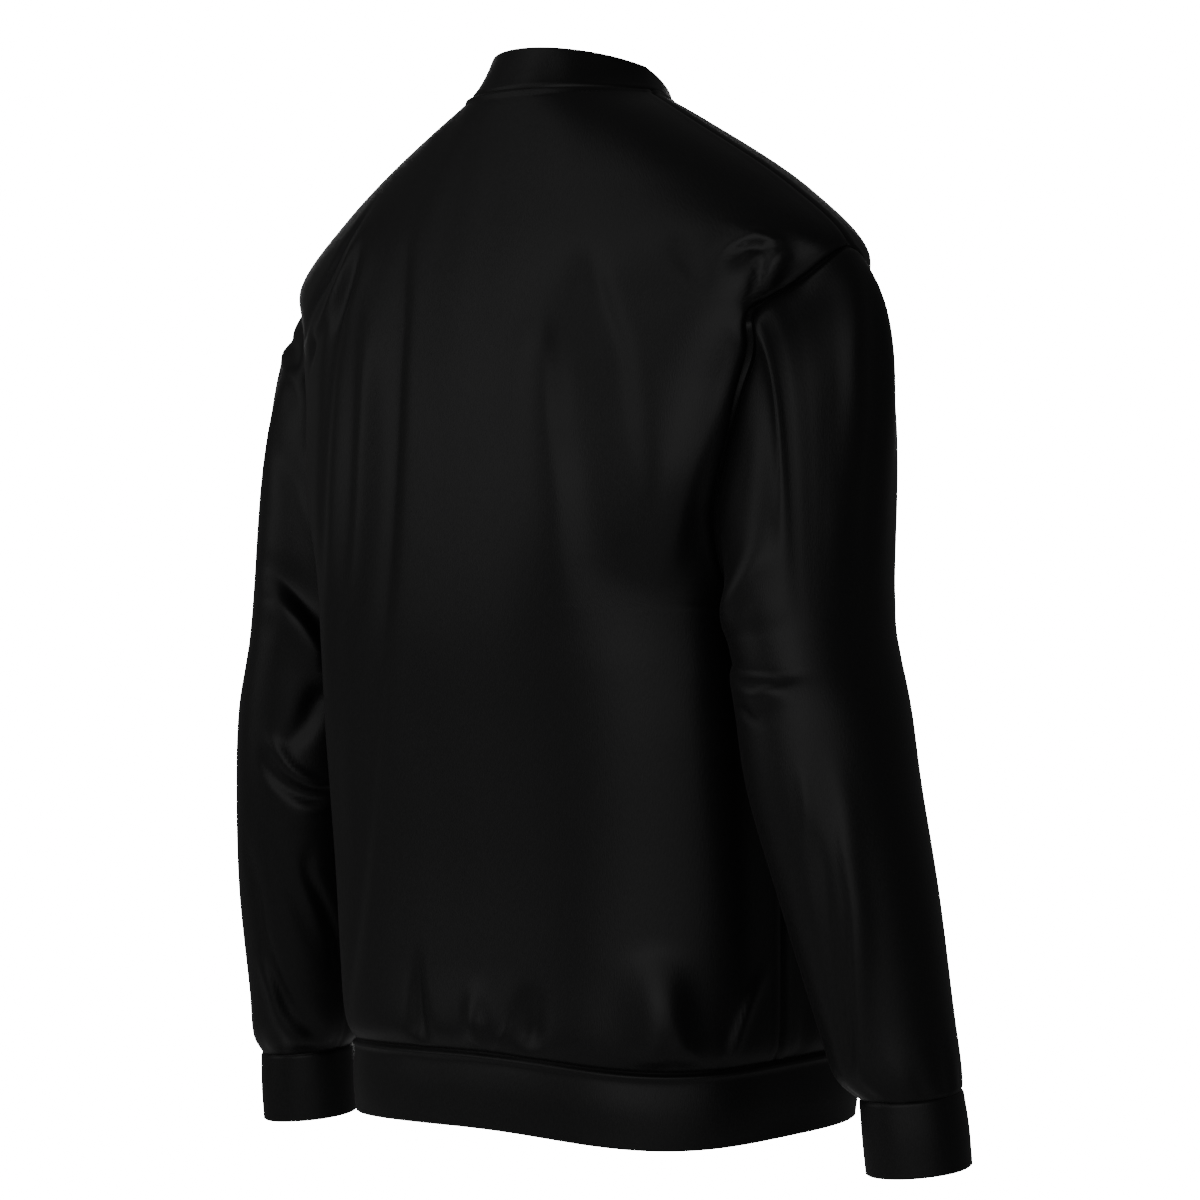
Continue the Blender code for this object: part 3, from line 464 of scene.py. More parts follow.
def level_rows(around_deg, level_edge, reaches):
    """Levels on the body at distances above (or, below zero, under) its end edge, one row for each."""
    step = 0.1 * np.sign(reaches[0])
    metres = np.linalg.norm(
        oval(BODY, around_deg, np.full_like(around_deg, level_edge + step))
        - oval(BODY, around_deg, np.full_like(around_deg, float(level_edge))),
        axis=-1,
    )
    return level_edge + np.array(reaches)[:, None] * abs(step) / metres


def body_panel(name, around_deg, level, tuck_side=0):
    """A panel of the body on a grid of angles and levels, its edges rolled into their seams.

    With tuck_side, its first or last columns reach under the next panel at the side and shoulder.
    """
    outer = body_surface(around_deg, level)
    from_side, from_end = from_edges(outer, 1), from_edges(outer, 0)
    at_neck = np.arange(len(outer))[:, None] > len(outer) // 2
    end_roll = np.where(at_neck, bells(from_end, NECK_SEAM), seam_roll(from_end, HEM_GROOVE, 0))
    roll = seam_roll(from_side, SEAM_GROOVE, SEAM_RIDGE) + end_roll
    beside_sleeve = np.where(np.abs(around_deg) < 130, from_side, 1.0)
    roll = roll + armhole_fullness(beside_sleeve, level, np.sign(around_deg))
    outer = outer + grid_normals(outer, False) * roll[..., None]
    outer[0, :, 2] += SEAM_GAP
    if tuck_side:
        edge = 0 if tuck_side > 0 else -1
        seam, at = around_deg[:, edge], level[:, edge]
        window = np.clip((UNDERARM - at) / 0.3, 0, 1) + np.clip((at - SHOULDER_TIP) / 0.3, 0, 1)
        columns = []
        for reach, depth in ALLOWANCE[:2] if tuck_side > 0 else ALLOWANCE[1::-1]:
            turn = (0.0004 + reach * window) / np.linalg.norm(outer[:, edge, :2], axis=1).clip(0.08)
            under = seam - np.sign(seam) * np.degrees(turn)
            columns.append(body_surface(under, at) - depth * outward(under, at))
        columns = np.stack(columns, axis=1)
        outer = np.concatenate([columns, outer] if tuck_side > 0 else [outer, columns], axis=1)
    return cloth_wall(name, outer)


# The knit's fine vertical grain, as heights and a faint mottle, for every cloth of the jacket.
grain = bpy.data.node_groups.new("knit grain", "ShaderNodeTree")
grain.interface.new_socket("Vector", in_out="INPUT", socket_type="NodeSocketVector")
wales = grain.interface.new_socket("Wales per metre", in_out="INPUT", socket_type="NodeSocketFloat")
wales.default_value = 1500
grain.interface.new_socket("Height", in_out="OUTPUT", socket_type="NodeSocketFloat")
grain.interface.new_socket("Mottle", in_out="OUTPUT", socket_type="NodeSocketFloat")
node, wire = grain.nodes.new, grain.links.new
group_in, group_out = node("NodeGroupInput"), node("NodeGroupOutput")
stretch = node("ShaderNodeVectorMath")
stretch.operation = "MULTIPLY"
stretch.inputs[1].default_value = (1.0, 0.16, 1.0)
threads, clouds = node("ShaderNodeTexNoise"), node("ShaderNodeTexNoise")
threads.noise_dimensions = clouds.noise_dimensions = "2D"
threads.inputs["Detail"].default_value = 2.0
clouds.inputs["Scale"].default_value = 26.0
clouds.inputs["Detail"].default_value = 3.0
wire(group_in.outputs["Vector"], stretch.inputs[0])
wire(stretch.outputs["Vector"], threads.inputs["Vector"])
wire(group_in.outputs["Wales per metre"], threads.inputs["Scale"])
wire(group_in.outputs["Vector"], clouds.inputs["Vector"])
wire(threads.outputs["Fac"], group_out.inputs["Height"])
wire(clouds.outputs["Fac"], group_out.inputs["Mottle"])


def new_material(name):
    """A material, its main shader, and the makers of its nodes and links."""
    mat = bpy.data.materials.new(name)
    mat.use_nodes = True
    nodes = mat.node_tree.nodes
    return mat, nodes["Principled BSDF"], nodes.new, mat.node_tree.links.new


def tinted(shader, node, wire, mask, dark, light):
    """The shader's colour goes from dark to light with a mask."""
    tint = node("ShaderNodeMix")
    tint.data_type = "RGBA"
    tint.inputs["A"].default_value = dark
    tint.inputs["B"].default_value = light
    wire(mask, tint.inputs["Factor"])
    wire(tint.outputs["Result"], shader.inputs["Base Color"])


def glossed(shader, node, wire, mask, smooth, rough):
    """The shader's roughness goes from smooth to rough with a mask."""
    gloss = node("ShaderNodeMapRange")
    gloss.inputs["To Min"].default_value = smooth
    gloss.inputs["To Max"].default_value = rough
    wire(mask, gloss.inputs["Value"])
    wire(gloss.outputs["Result"], shader.inputs["Roughness"])


def embossed(shader, node, wire, height, strength, depth):
    """A height, times a depth in metres, tilts the shader's normal."""
    relief = node("ShaderNodeBump")
    relief.inputs["Strength"].default_value = strength
    relief.inputs["Distance"].default_value = depth
    wire(height, relief.inputs["Height"])
    wire(relief.outputs["Normal"], shader.inputs["Normal"])


def knit_cloth(name, dark, light, roughness, bump):
    """Black polyester knit: two near blacks mixed by its grain, soft mottled gloss, fine grain."""
    mat, shader, node, wire = new_material(name)
    shader.inputs["Specular IOR Level"].default_value = 0.32
    shader.inputs["Sheen Weight"].default_value = 0.02
    shader.inputs["Sheen Roughness"].default_value = 0.5
    place, knit = node("ShaderNodeUVMap"), node("ShaderNodeGroup")
    place.uv_map = "cut"
    knit.node_tree = grain
    wire(place.outputs["UV"], knit.inputs["Vector"])
    tinted(shader, node, wire, knit.outputs["Height"], dark, light)
    glossed(shader, node, wire, knit.outputs["Mottle"], roughness - 0.02, roughness + 0.02)
    embossed(shader, node, wire, knit.outputs["Height"], bump, 0.0003)
    return mat


smooth_knit = knit_cloth(
    "smooth black knit", (0.0042, 0.0042, 0.0044, 1), (0.0074, 0.0074, 0.0078, 1), roughness=0.42, bump=0.35
)

BACK_LENGTH, BACK_WIDTH, BACK_ROWS, BACK_COLUMNS = 0.63, 0.50, 200, 200
back_levels = even_levels(BODY, 0, near_edges(BACK_LENGTH, BACK_ROWS))
back_share = 2 * near_edges(BACK_WIDTH, BACK_COLUMNS) - 1
# The columns keep their angles in the middle, and the armhole's cut only draws in the outer ones.
left_cut = SIDE_SEAM_DEG - side_edge(back_levels, -CUT_BACK_DEG, BACK_PULL[1])[:, None]
right_cut = SIDE_SEAM_DEG - side_edge(back_levels, -CUT_BACK_DEG, BACK_PULL[-1])[:, None]
back_angles = SIDE_SEAM_DEG * back_share - np.where(back_share > 0, left_cut, right_cut) * back_share**3
back = body_panel("back_panel", back_angles, np.broadcast_to(back_levels[:, None], back_angles.shape))
back.data.materials.append(smooth_knit)
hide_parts("back")
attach(back, "jacket")


# ---------------------------------------------------------------- fronts
# The two fronts are plain panels of the same knit. Each is turned under at the zip, where a line of
# stitching holds the tape, and joined to the back at the side and along the shoulder.

FRONT_EDGE = 0.0060
FRONT_LENGTH, FRONT_WIDTH, FRONT_ROWS, FRONT_COLUMNS = 0.60, 0.25, 190, 100


def angle_at_front(table, level, half_width):
    """The angle round from the centre back at which a ring is half_width from the centre front."""
    row = smooth_rows(table, level)
    return 180 - np.degrees(np.arcsin(half_width / (row[..., 4] - row[..., 6])))


front_levels = even_levels(BODY, 150, near_edges(FRONT_LENGTH, FRONT_ROWS))
for side, word in ((1, "left"), (-1, "right")):
    zip_edge = angle_at_front(BODY, front_levels, FRONT_EDGE)
    seam_edge = side_edge(front_levels, CUT_FRONT_DEG)
    share = near_edges(FRONT_WIDTH, FRONT_COLUMNS)
    plain = zip_edge[:, None] + (SIDE_SEAM_DEG - zip_edge)[:, None] * share
    angles = np.sort(side * (plain + (seam_edge - SIDE_SEAM_DEG)[:, None] * share**3), axis=1)
    levels = np.broadcast_to(front_levels[:, None], angles.shape)
    front = body_panel(f"front_panel_{word}", angles, levels, side)
    front.data.materials.append(smooth_knit)
    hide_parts(f"front_{word}")
    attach(front, "jacket")


# ---------------------------------------------------------------- sleeves
# Each sleeve is a tube set into the armhole with a dropped, easy cap. It hangs with a slight bend at
# the elbow, where the cloth piles up in short crescents, and it fills out over the cuff's seam.

# The arm's rings from under the cap to the cuff's seam: x, y, z, half widths to the side and to the
# back, and how much the front is raised.
SLEEVE = (
    (0.2335, 0.0115, -0.362, 0.0475, 0.0600, 0.00),
    (0.2424, 0.0115, -0.400, 0.0500, 0.0595, 0.02),
    (0.2496, 0.0086, -0.450, 0.0500, 0.0580, 0.05),
    (0.2644, 0.0004, -0.520, 0.0460, 0.0520, 0.08),
    (0.2757, -0.0102, -0.590, 0.0410, 0.0447, 0.11),
    (0.2820, -0.0145, -0.622, 0.0385, 0.0410, 0.12),
    (0.2890, -0.0180, -0.637, 0.0318, 0.0328, 0.13),
)
CAP_REACH = 0.27
# The way in which the cap leaves the armhole, by height from 0 to 1: out, aside and down.
LEAVE = (
    (0.00, 0.80, 0.00, 0.60),
    (0.30, 0.93, 0.22, 0.30),
    (0.60, 0.93, 0.25, 0.27),
    (0.85, 0.90, 0.15, 0.42),
    (1.00, 0.72, 0.00, 0.69),
)
SLEEVE_RADIUS = 0.055
CAP_LENGTH, ARM_LENGTH, SLEEVE_DRIFT = 0.24, 0.29, 0.0006
INNER_GROOVE, INNER_GROOVE_WIDTH = 0.0007, 0.0022
# Beside the back, the sleeve sinks in at the seam: how far, where, and over what half width.
SEAM_SINK = ((0.0046, 0.0034, 0.0048),)
SLEEVE_COUNT, CAP_ROWS, ARM_ROWS = 132, 90, 110
# The folds of each sleeve, with their places round from its outer line (to the back).
SLEEVE_FOLDS = {
    "left": {
        "cap pocket": (
            (16, -144, 4, 4, -1.8), (26, -151, 5, 4, -4.8), (44, -165, 5, 4, -4.3), (55, -179, 4, 4, 0),
        ),
        "cap ridge": (
            (21, -154, 5, 4, 1.8), (44, -169, 5, 4, 3.6), (52, -177, 5, 4, 2.9), (58, -184, 4, 4, 0),
        ),
        "cap pull": ((34, -163, 4, 4, 0), (50, -180, 4, 4, -1.7), (63, -197, 4, 4, 0)),
        "upper hollow": (
            (47, -208, 8, 8, 0), (76, -236, 9, 9, -3.1), (94, -252, 9, 9, -3.4), (107, -267, 9, 9, -2.4),
        ),
        "elbow hollow": (
            (52, -297, 10, 8, 0), (92, -307, 13, 7, -4.1), (115, -323, 14, 6, -5.3),
            (134, -347, 12, 5, -4.8), (144, -360, 10, 5, -3.6),
        ),
        "elbow ridge": (
            (63, -326, 7, 12, 0), (97, -328, 7, 13, 3.6), (113, -336, 7, 14, 5), (128, -349, 7, 12, 4.8),
            (144, -373, 6, 10, 3.6),
        ),
        "elbow pit": (
            (149, -384, 7, 8, -2.9), (139, -392, 8, 9, -4.3), (131, -409, 8, 9, -4),
            (120, -423, 7, 8, -2.4), (115, -430, 6, 6, 0),
        ),
        "elbow crescent": (
            (102, -418, 4, 4, 0), (113, -430, 5, 4, 3.8), (120, -439, 5, 4, 4.8), (131, -447, 5, 4, 4.8),
            (141, -450, 5, 4, 4.1), (152, -449, 5, 4, 3.1),
        ),
        "hollow under the crescent": (
            (97, -427, 5, 5, 0), (105, -441, 5, 5, -3.4), (118, -452, 5, 5, -4.3), (134, -459, 5, 5, -4.3),
            (147, -459, 5, 5, -3.4), (157, -459, 5, 5, -2.4),
        ),
        "upper forearm swell": (
            (115, -467, 8, 8, 0), (128, -469, 8, 8, 2.6), (141, -469, 8, 8, 2.6), (157, -465, 8, 8, 1.4),
        ),
        "forearm hollow by the body": (
            (136, -493, 6, 8, 0), (136, -512, 5, 6, -2.4), (147, -533, 5, 5, -2.7),
            (157, -555, 5, 5, -2.7), (162, -577, 5, 5, -1.4), (168, -601, 5, 5, 0),
        ),
        "forearm hollow": (
            (100, -467, 7, 8, 0), (113, -499, 8, 8, -2.6), (123, -524, 8, 8, -2.4),
            (134, -548, 8, 8, -1.4), (144, -570, 8, 8, 0),
        ),
        "forearm outer hollow": (
            (79, -486, 6, 5, 0), (89, -522, 6, 5, -2.9), (94, -558, 7, 5, -3.4), (105, -588, 7, 5, -3.6),
            (118, -607, 7, 5, -3.4), (139, -625, 7, 5, -1.7),
        ),
        "forearm swell": (
            (84, -567, 5, 6, 0), (97, -590, 5, 7, 3.1), (107, -612, 5, 8, 3.8), (120, -625, 5, 8, 3.6),
            (141, -632, 5, 7, 1.7),
        ),
        "front of the elbow, ridge": (
            (-50, -322, 7, 12, 0), (-85, -345, 7, 12, 3.2), (-125, -380, 6, 10, 3.4),
            (-155, -410, 6, 8, 0),
        ),
        "front of the elbow, hollow": (
            (-60, -350, 5, 9, 0), (-95, -372, 5, 10, -3), (-140, -412, 5, 8, -2.6), (-165, -440, 5, 8, 0),
        ),
        "front of the forearm": (
            (-40, -480, 7, 10, 0), (-75, -540, 7, 11, 2.6), (-110, -605, 6, 10, 2), (-125, -628, 6, 9, 0),
        ),
        "outer cap fall": ((-10, -120, 6, 6, 0), (-14, -190, 7, 7, 1.8), (-10, -300, 7, 7, 0)),
    },
    "right": {
        "cap hollow": (
            (13, -124, 5, 7, 0), (16, -142, 7, 11, -3), (18, -167, 7, 12, -4), (18, -199, 7, 12, -4),
            (18, -229, 8, 12, -2.8), (16, -285, 9, 10, 0),
        ),
        "cap ridge": (
            (3, -124, 5, 5, 0), (8, -149, 5, 6, 0.8), (11, -186, 5, 7, 0.9), (6, -223, 6, 8, 0.5),
            (0, -283, 6, 8, 0),
        ),
        "seam pinch": ((34, -146, 2.5, 2.5, 1), (39, -153, 2.5, 2.5, 1.4), (44, -163, 2.5, 2.5, 0)),
        "elbow ridge": (
            (120, -347, 8, 9, 2.4), (102, -335, 9, 12, 5.4), (86, -321, 10, 14, 5),
            (73, -309, 11, 16, 3.4), (55, -299, 12, 18, 0),
        ),
        "elbow hollow": (
            (123, -359, 14, 10, -2.4), (89, -357, 14, 12, -3.1), (60, -355, 12, 12, -2.2),
            (42, -354, 12, 12, 0),
        ),
        "elbow crease": (
            (131, -372, 3, 8, -1.8), (97, -378, 3, 9, -4.1), (76, -379, 3, 9, -4.1),
            (58, -379, 3.5, 8, -2.4), (44, -378, 4, 8, 0),
        ),
        "lower elbow ridge": (
            (105, -387, 6, 5, 1.2), (86, -390, 7, 5, 3.8), (71, -389, 8, 5, 3.4), (55, -390, 9, 6, 0),
        ),
        "elbow pinch": ((115, -398, 3, 3, 0), (100, -401, 3, 3, -3.1), (86, -407, 3, 3, 0)),
        "forearm hollow": (
            (58, -466, 6, 5, 0), (60, -497, 8, 6, -2.4), (68, -536, 8, 6, -3.1), (76, -572, 8, 6, -3.1),
            (84, -608, 6, 5, -1.8), (94, -627, 6, 5, 0),
        ),
        "forearm ridge": (
            (37, -423, 6, 10, 0), (37, -460, 5, 10, 1.9), (42, -491, 4, 10, 3.1), (47, -527, 4, 10, 3.8),
            (58, -570, 4, 10, 3.8), (71, -614, 4, 9, 2.9), (84, -630, 4, 8, 0),
        ),
        "upper forearm ridge": ((58, -430, 4, 4, 0), (60, -461, 4, 4, 1.4), (71, -497, 4, 4, 0)),
        "front of the elbow, ridge": (
            (-48, -330, 7, 12, 0), (-82, -352, 7, 12, 3), (-122, -384, 6, 10, 3.4), (-152, -416, 6, 8, 0),
        ),
        "front of the elbow, hollow": (
            (-64, -360, 5, 9, 0), (-100, -384, 5, 10, -3), (-138, -418, 5, 8, -2.4), (-162, -446, 5, 8, 0),
        ),
        "front of the forearm": (
            (-50, -470, 7, 10, 0), (-80, -530, 7, 11, 2.6), (-104, -600, 6, 10, 2), (-118, -628, 6, 9, 0),
        ),
    },
}
# Small gathers above the cuff's seam: turns round the sleeve, how high they reach, depth.
CUFF_GATHERS = (
    (0.03, 0.026, 0.0012), (0.11, 0.020, 0.0009), (0.19, 0.030, 0.0014), (0.27, 0.022, 0.0010),
    (0.34, 0.034, 0.0014), (0.42, 0.022, 0.0010), (0.51, 0.028, 0.0012), (0.58, 0.020, 0.0009),
    (0.67, 0.032, 0.0014), (0.76, 0.022, 0.0010), (0.84, 0.028, 0.0012), (0.93, 0.020, 0.0009),
)


def armhole(side, columns):
    """The armhole's edge on the body, as points mirrored to the left, evenly round the sleeve.

    It starts at the underarm and goes up the back edge, over the shoulder tip at half a turn, and
    down the front edge. Also gives the height from 0 to 1, 1 on the back edge and -1 on the front,
    the body's normal, and the way along the body away from the hole.
    """
    level = np.linspace(UNDERARM, SHOULDER_TIP, 300)
    back_edge, front_edge = side_edge(level, -CUT_BACK_DEG, BACK_PULL[side]), side_edge(level, CUT_FRONT_DEG)
    around = np.concatenate([back_edge, front_edge[-2:0:-1]])
    level = np.concatenate([level, level[-2:0:-1]])
    edge = body_surface(side * around, level) * (side, 1, 1)
    steps = np.linalg.norm(np.roll(edge, -1, axis=0) - edge, axis=1)
    back, front = steps[:299].sum(), steps[299:].sum()
    run = np.concatenate([[0], np.cumsum(steps)[:-1]])
    turns = np.where(run <= back, np.pi * run / back, np.pi + np.pi * (run - back) / front)
    even = np.linspace(0, 2 * np.pi, columns, endpoint=False)
    height = np.clip((level - UNDERARM) / (SHOULDER_TIP - UNDERARM), 0, 1)
    out = outward(side * around, level) * (side, 1, 1)
    pick = [np.interp(even, turns, values, period=2 * np.pi) for values in (*edge.T, height, *out.T)]
    edge, out = np.stack(pick[:3], axis=-1), np.stack(pick[4:], axis=-1)
    under = np.cross(out, np.roll(edge, -1, axis=0) - np.roll(edge, 1, axis=0))
    under /= np.linalg.norm(under, axis=-1, keepdims=True)
    under *= np.sign(np.sum(under * (edge - edge.mean(axis=0))))
    return even, edge, pick[3], np.where(even < np.pi, 1.0, -1.0), out, under


def arm_ring(row, turns):
    """Rings of a sleeve or cuff: ovals about the arm's line, their fronts a little raised."""
    x, y, z, half_side, half_depth, front_rise = np.moveaxis(row, -1, 0)[..., None]
    inwards, backwards = np.cos(turns) * half_side, np.sin(turns) * half_depth
    return np.stack([x - inwards, y + backwards, z - backwards * front_rise], axis=-1)


def sleeve_grid(side, word):
    """A sleeve's outer points, as for the left arm: a curved cap from the armhole, then the arm.

    The cap's lines are cubic curves that leave the armhole in the ways of the table and end along
    the arm; the arm's rings follow their own table.
    """
    turns, edge, height, edge_side, out, under = armhole(side, SLEEVE_COUNT)
    rings = arm_ring(smooth_rows(SLEEVE, np.linspace(0, len(SLEEVE) - 1, 7)), turns)
    at = np.interp(height, [r[0] for r in LEAVE], np.arange(len(LEAVE)))
    way = smooth_rows(LEAVE, at)
    leave = np.stack([way[:, 1], way[:, 2] * edge_side, -way[:, 3]], axis=-1)
    leave /= np.linalg.norm(leave, axis=-1, keepdims=True)
    start, end = edge + SEAM_GAP * leave, rings[0]
    arm = arm_ring(smooth_rows(SLEEVE, np.array([0.0, 0.5])), turns)
    arm = (arm[1] - arm[0]) / np.linalg.norm(arm[1] - arm[0], axis=-1, keepdims=True)
    reach = CAP_REACH * np.linalg.norm(end - start, axis=-1, keepdims=True)
    t = near_edges(CAP_LENGTH, CAP_ROWS)[: CAP_ROWS - 8, None, None]
    cap = (
        (1 - t) ** 3 * start
        + 3 * (1 - t) ** 2 * t * (start + reach * leave)
        + 3 * (1 - t) * t * t * (end - reach * arm)
        + t**3 * end
    )
    lower = np.linspace(0, len(SLEEVE) - 1, 600)
    line = smooth_rows(SLEEVE, lower)[:, :3]
    run = np.concatenate([[0], np.cumsum(np.linalg.norm(np.diff(line, axis=0), axis=1))])
    share = near_edges(ARM_LENGTH, ARM_ROWS)[8:]
    grid = np.concatenate([cap, arm_ring(smooth_rows(SLEEVE, np.interp(share * run[-1], run, lower)), turns)])
    across = (np.pi - turns) * SLEEVE_RADIUS
    up = grid[..., 2]
    from_top = np.cumsum(np.pad(np.linalg.norm(np.diff(grid, axis=0), axis=-1), ((1, 0), (0, 0))), axis=0)
    to_cuff = from_top[-1] - from_top
    lift = fold_relief(across, up, SLEEVE_FOLDS[word], 2 * math.pi * SLEEVE_RADIUS)
    lift = lift + cloth_drift(across + 0.3 * side, up, SLEEVE_DRIFT)
    lift = lift * (1 - np.exp(-((from_top / 0.012) ** 2))) * (1 - np.exp(-((to_cuff / 0.008) ** 2)))
    for place, rise, depth in CUFF_GATHERS:
        aside = (turns / (2 * np.pi) - place + 0.5) % 1 - 0.5
        gather = depth * np.exp(-((aside / 0.022) ** 2) - (to_cuff / rise) ** 2)
        lift = lift - gather * (1 - np.exp(-to_cuff / 0.003))
    lift = lift + seam_roll(from_top, 0.0010, 0.0003) + seam_roll(to_cuff, 0.0008, 0.0)
    part_way_up = np.clip((0.80 - height) / 0.1, 0, 1) * np.clip((height - 0.35) / 0.2, 0, 1)
    beside_back = np.clip(np.sin(turns), 0, 1) * part_way_up
    lift = lift - beside_back * bells(from_top, SEAM_SINK)
    inner_seam = np.minimum(turns, 2 * np.pi - turns) * SLEEVE_RADIUS
    lift = lift - bells(inner_seam, ((INNER_GROOVE, 0, INNER_GROOVE_WIDTH),))
    grid = grid - grid_normals(grid, True) * lift[..., None]
    tucked = [edge + reach * under - depth * out for reach, depth in ALLOWANCE]
    return np.concatenate([np.stack(tucked), grid])


for side, word in ((1, "left"), (-1, "right")):
    sleeve = cloth_wall(f"sleeve_tube_{word}", sleeve_grid(side, word) * (side, 1, 1), wraps=True, flip=-side)
    sleeve.data.materials.append(smooth_knit)
    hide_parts(f"sleeve_{word}")
    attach(sleeve, "jacket")


# ---------------------------------------------------------------- cuffs
# The cuffs are smooth bands of the same knit, folded double at the wrist and a little narrower than
# the sleeve that is eased into them.

CUFF = (
    (0.2890, -0.0180, -0.637, 0.0318, 0.0328, 0.13),
    (0.2905, -0.0205, -0.660, 0.0325, 0.0335, 0.13),
    (0.2915, -0.0230, -0.683, 0.0322, 0.0332, 0.13),
)
CUFF_HEIGHT, CUFF_ROWS, DOUBLE_CLOTH = 0.046, 34, 0.0020
# The cuff's turned edge inside the sleeve: places up the sleeve's rings, and depths under its face.
CUFF_TUCK = ((0.5, 0.0045), (0.28, 0.0036), (0.1, 0.0028))
cuff_turns = np.linspace(0, 2 * np.pi, SLEEVE_COUNT, endpoint=False)
for side, word in ((1, "left"), (-1, "right")):
    grid = arm_ring(smooth_rows(CUFF, 2 * near_edges(CUFF_HEIGHT, CUFF_ROWS)), cuff_turns)
    grid[0, :, 2] -= SEAM_GAP
    from_seam = np.linspace(0, CUFF_HEIGHT, CUFF_ROWS)[:, None]
    around = cuff_turns[None] * SLEEVE_RADIUS
    lift = seam_roll(from_seam, 0.0008, 0.0) + cloth_drift(around + 0.2 * side, 2 * from_seam, BODY_DRIFT)
    grid = grid - grid_normals(grid, True) * lift[..., None]
    rows_up, depths = np.array(CUFF_TUCK).T
    above = smooth_rows(SLEEVE, len(SLEEVE) - 1 - rows_up)
    above[:, 3:5] -= depths[:, None]
    grid = np.concatenate([arm_ring(above, cuff_turns), grid])
    cuff = cloth_wall(
        f"cuff_band_{word}", grid * (side, 1, 1), wraps=True, thickness=DOUBLE_CLOTH, flip=-side
    )
    cuff.data.materials.append(smooth_knit)
    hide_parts(f"cuff_{word}")
    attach(cuff, "jacket")


# ---------------------------------------------------------------- collar
# The stand collar is one strip of the knit folded double, sewn to the neck and leaning in towards
# the wearer's neck. A line of stitching on the body, six millimetres below, holds its seam down.

COLLAR = (
    (0.002, 0.001, -0.040, 0.0700, -0.005, 0.0620, -0.0750, 2.0, 2),
    (0.016, 0.010, -0.024, 0.0640, -0.008, 0.0540, -0.0725, 2.0, 1.5),
    (0.030, 0.018, -0.008, 0.0600, -0.0115, 0.0470, -0.0700, 2.0, 1),
)
COLLAR_HEIGHT, COLLAR_LENGTH, COLLAR_ROLL, COLLAR_ROWS, COLLAR_COUNT = 0.030, 0.42, 0.0002, 30, 220


def open_ring(name, table, rows, columns, height, length, seam_row, roll):
    """The collar or the hem band: its rings from one side of the zip round the back to the other.

    The seam to the body is at row 0 or at row -1, where the cloth rolls over by a bell curve.
    """
    level = (len(table) - 1) * near_edges(height, rows)[:, None]
    edge = angle_at_front(table, level, FRONT_EDGE)
    around = edge * (2 * near_edges(length, columns) - 1)
    level = np.broadcast_to(level, around.shape)
    outer = oval(table, around, level)
    seam = from_edges(outer, 0)
    middle = rows // 2
    lower_half = np.arange(rows)[:, None] < middle
    seamed = lower_half if seam_row == 0 else ~lower_half
    edge_roll = bells(seam, ((roll, 0.0026, 0.0019), (-0.0010, 0, 0.0011)))
    lift = np.where(seamed, edge_roll, 0)
    drift = cloth_drift(np.radians(around) * BODY_RADIUS, 2.5 * outer[..., 2], BODY_DRIFT)
    lift = lift + drift * (1 - np.exp(-((seam / 0.006) ** 2)))
    outer = outer + grid_normals(outer, False) * lift[..., None]
    turned = around[0 if seam_row == 0 else -1]
    reaches, depths = np.array(ALLOWANCE).T
    if seam_row == 0:
        under = level_rows(turned, NECK, -reaches)
    else:
        under, depths = level_rows(turned, 0, reaches[::-1]), depths[::-1]
    along = np.broadcast_to(turned, under.shape)
    tucked = body_surface(along, under) - depths[:, None, None] * outward(along, under)
    outer = np.concatenate([tucked, outer] if seam_row == 0 else [outer, tucked])
    return cloth_wall(name, outer, thickness=DOUBLE_CLOTH)


collar = open_ring(
    "stand_collar", COLLAR, COLLAR_ROWS, COLLAR_COUNT, COLLAR_HEIGHT, COLLAR_LENGTH, 0, COLLAR_ROLL
)
collar.data.materials.append(smooth_knit)
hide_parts("collar")
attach(collar, "jacket")


# ---------------------------------------------------------------- hem band
# The hem band is the same knit folded double at the bottom. It is a little shorter than the body's
# edge, so the body rolls over it in one soft bright edge.

HEM_BAND = (
    (-0.667, -0.667, -0.656, 0.171, -0.027, 0.102, -0.166, 2.6, 2),
    (-0.643, -0.643, -0.634, 0.173, -0.027, 0.104, -0.168, 2.6, 2),
    (-0.619, -0.619, -0.612, 0.172, -0.027, 0.103, -0.167, 2.6, 2),
)
BAND_HEIGHT, BAND_LENGTH, BAND_ROLL, BAND_ROWS, BAND_COUNT = 0.048, 0.96, 0.0016, 36, 330
band = open_ring("waist_band", HEM_BAND, BAND_ROWS, BAND_COUNT, BAND_HEIGHT, BAND_LENGTH, -1, BAND_ROLL)
band.data.materials.append(smooth_knit)
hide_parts("hem_band")
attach(band, "jacket")


# ---------------------------------------------------------------- zip tapes
# The zip's two tapes are narrow woven twill, sewn behind the turned front edges from the bottom of
# the band to the top of the collar. Their inner edges step back and meet behind the coil, which is
# sewn to them.

TAPE_WIDTHS = (0.0003, 0.0012, 0.0022, 0.0027, 0.0031, 0.0036, 0.0050, 0.0085, 0.0120, 0.0150)
COIL_ROOM, COIL_ROOM_WIDTH, COIL_ROOM_STEP, TAPE_THICKNESS = 0.0009, 0.0034, 0.0010, 0.0009


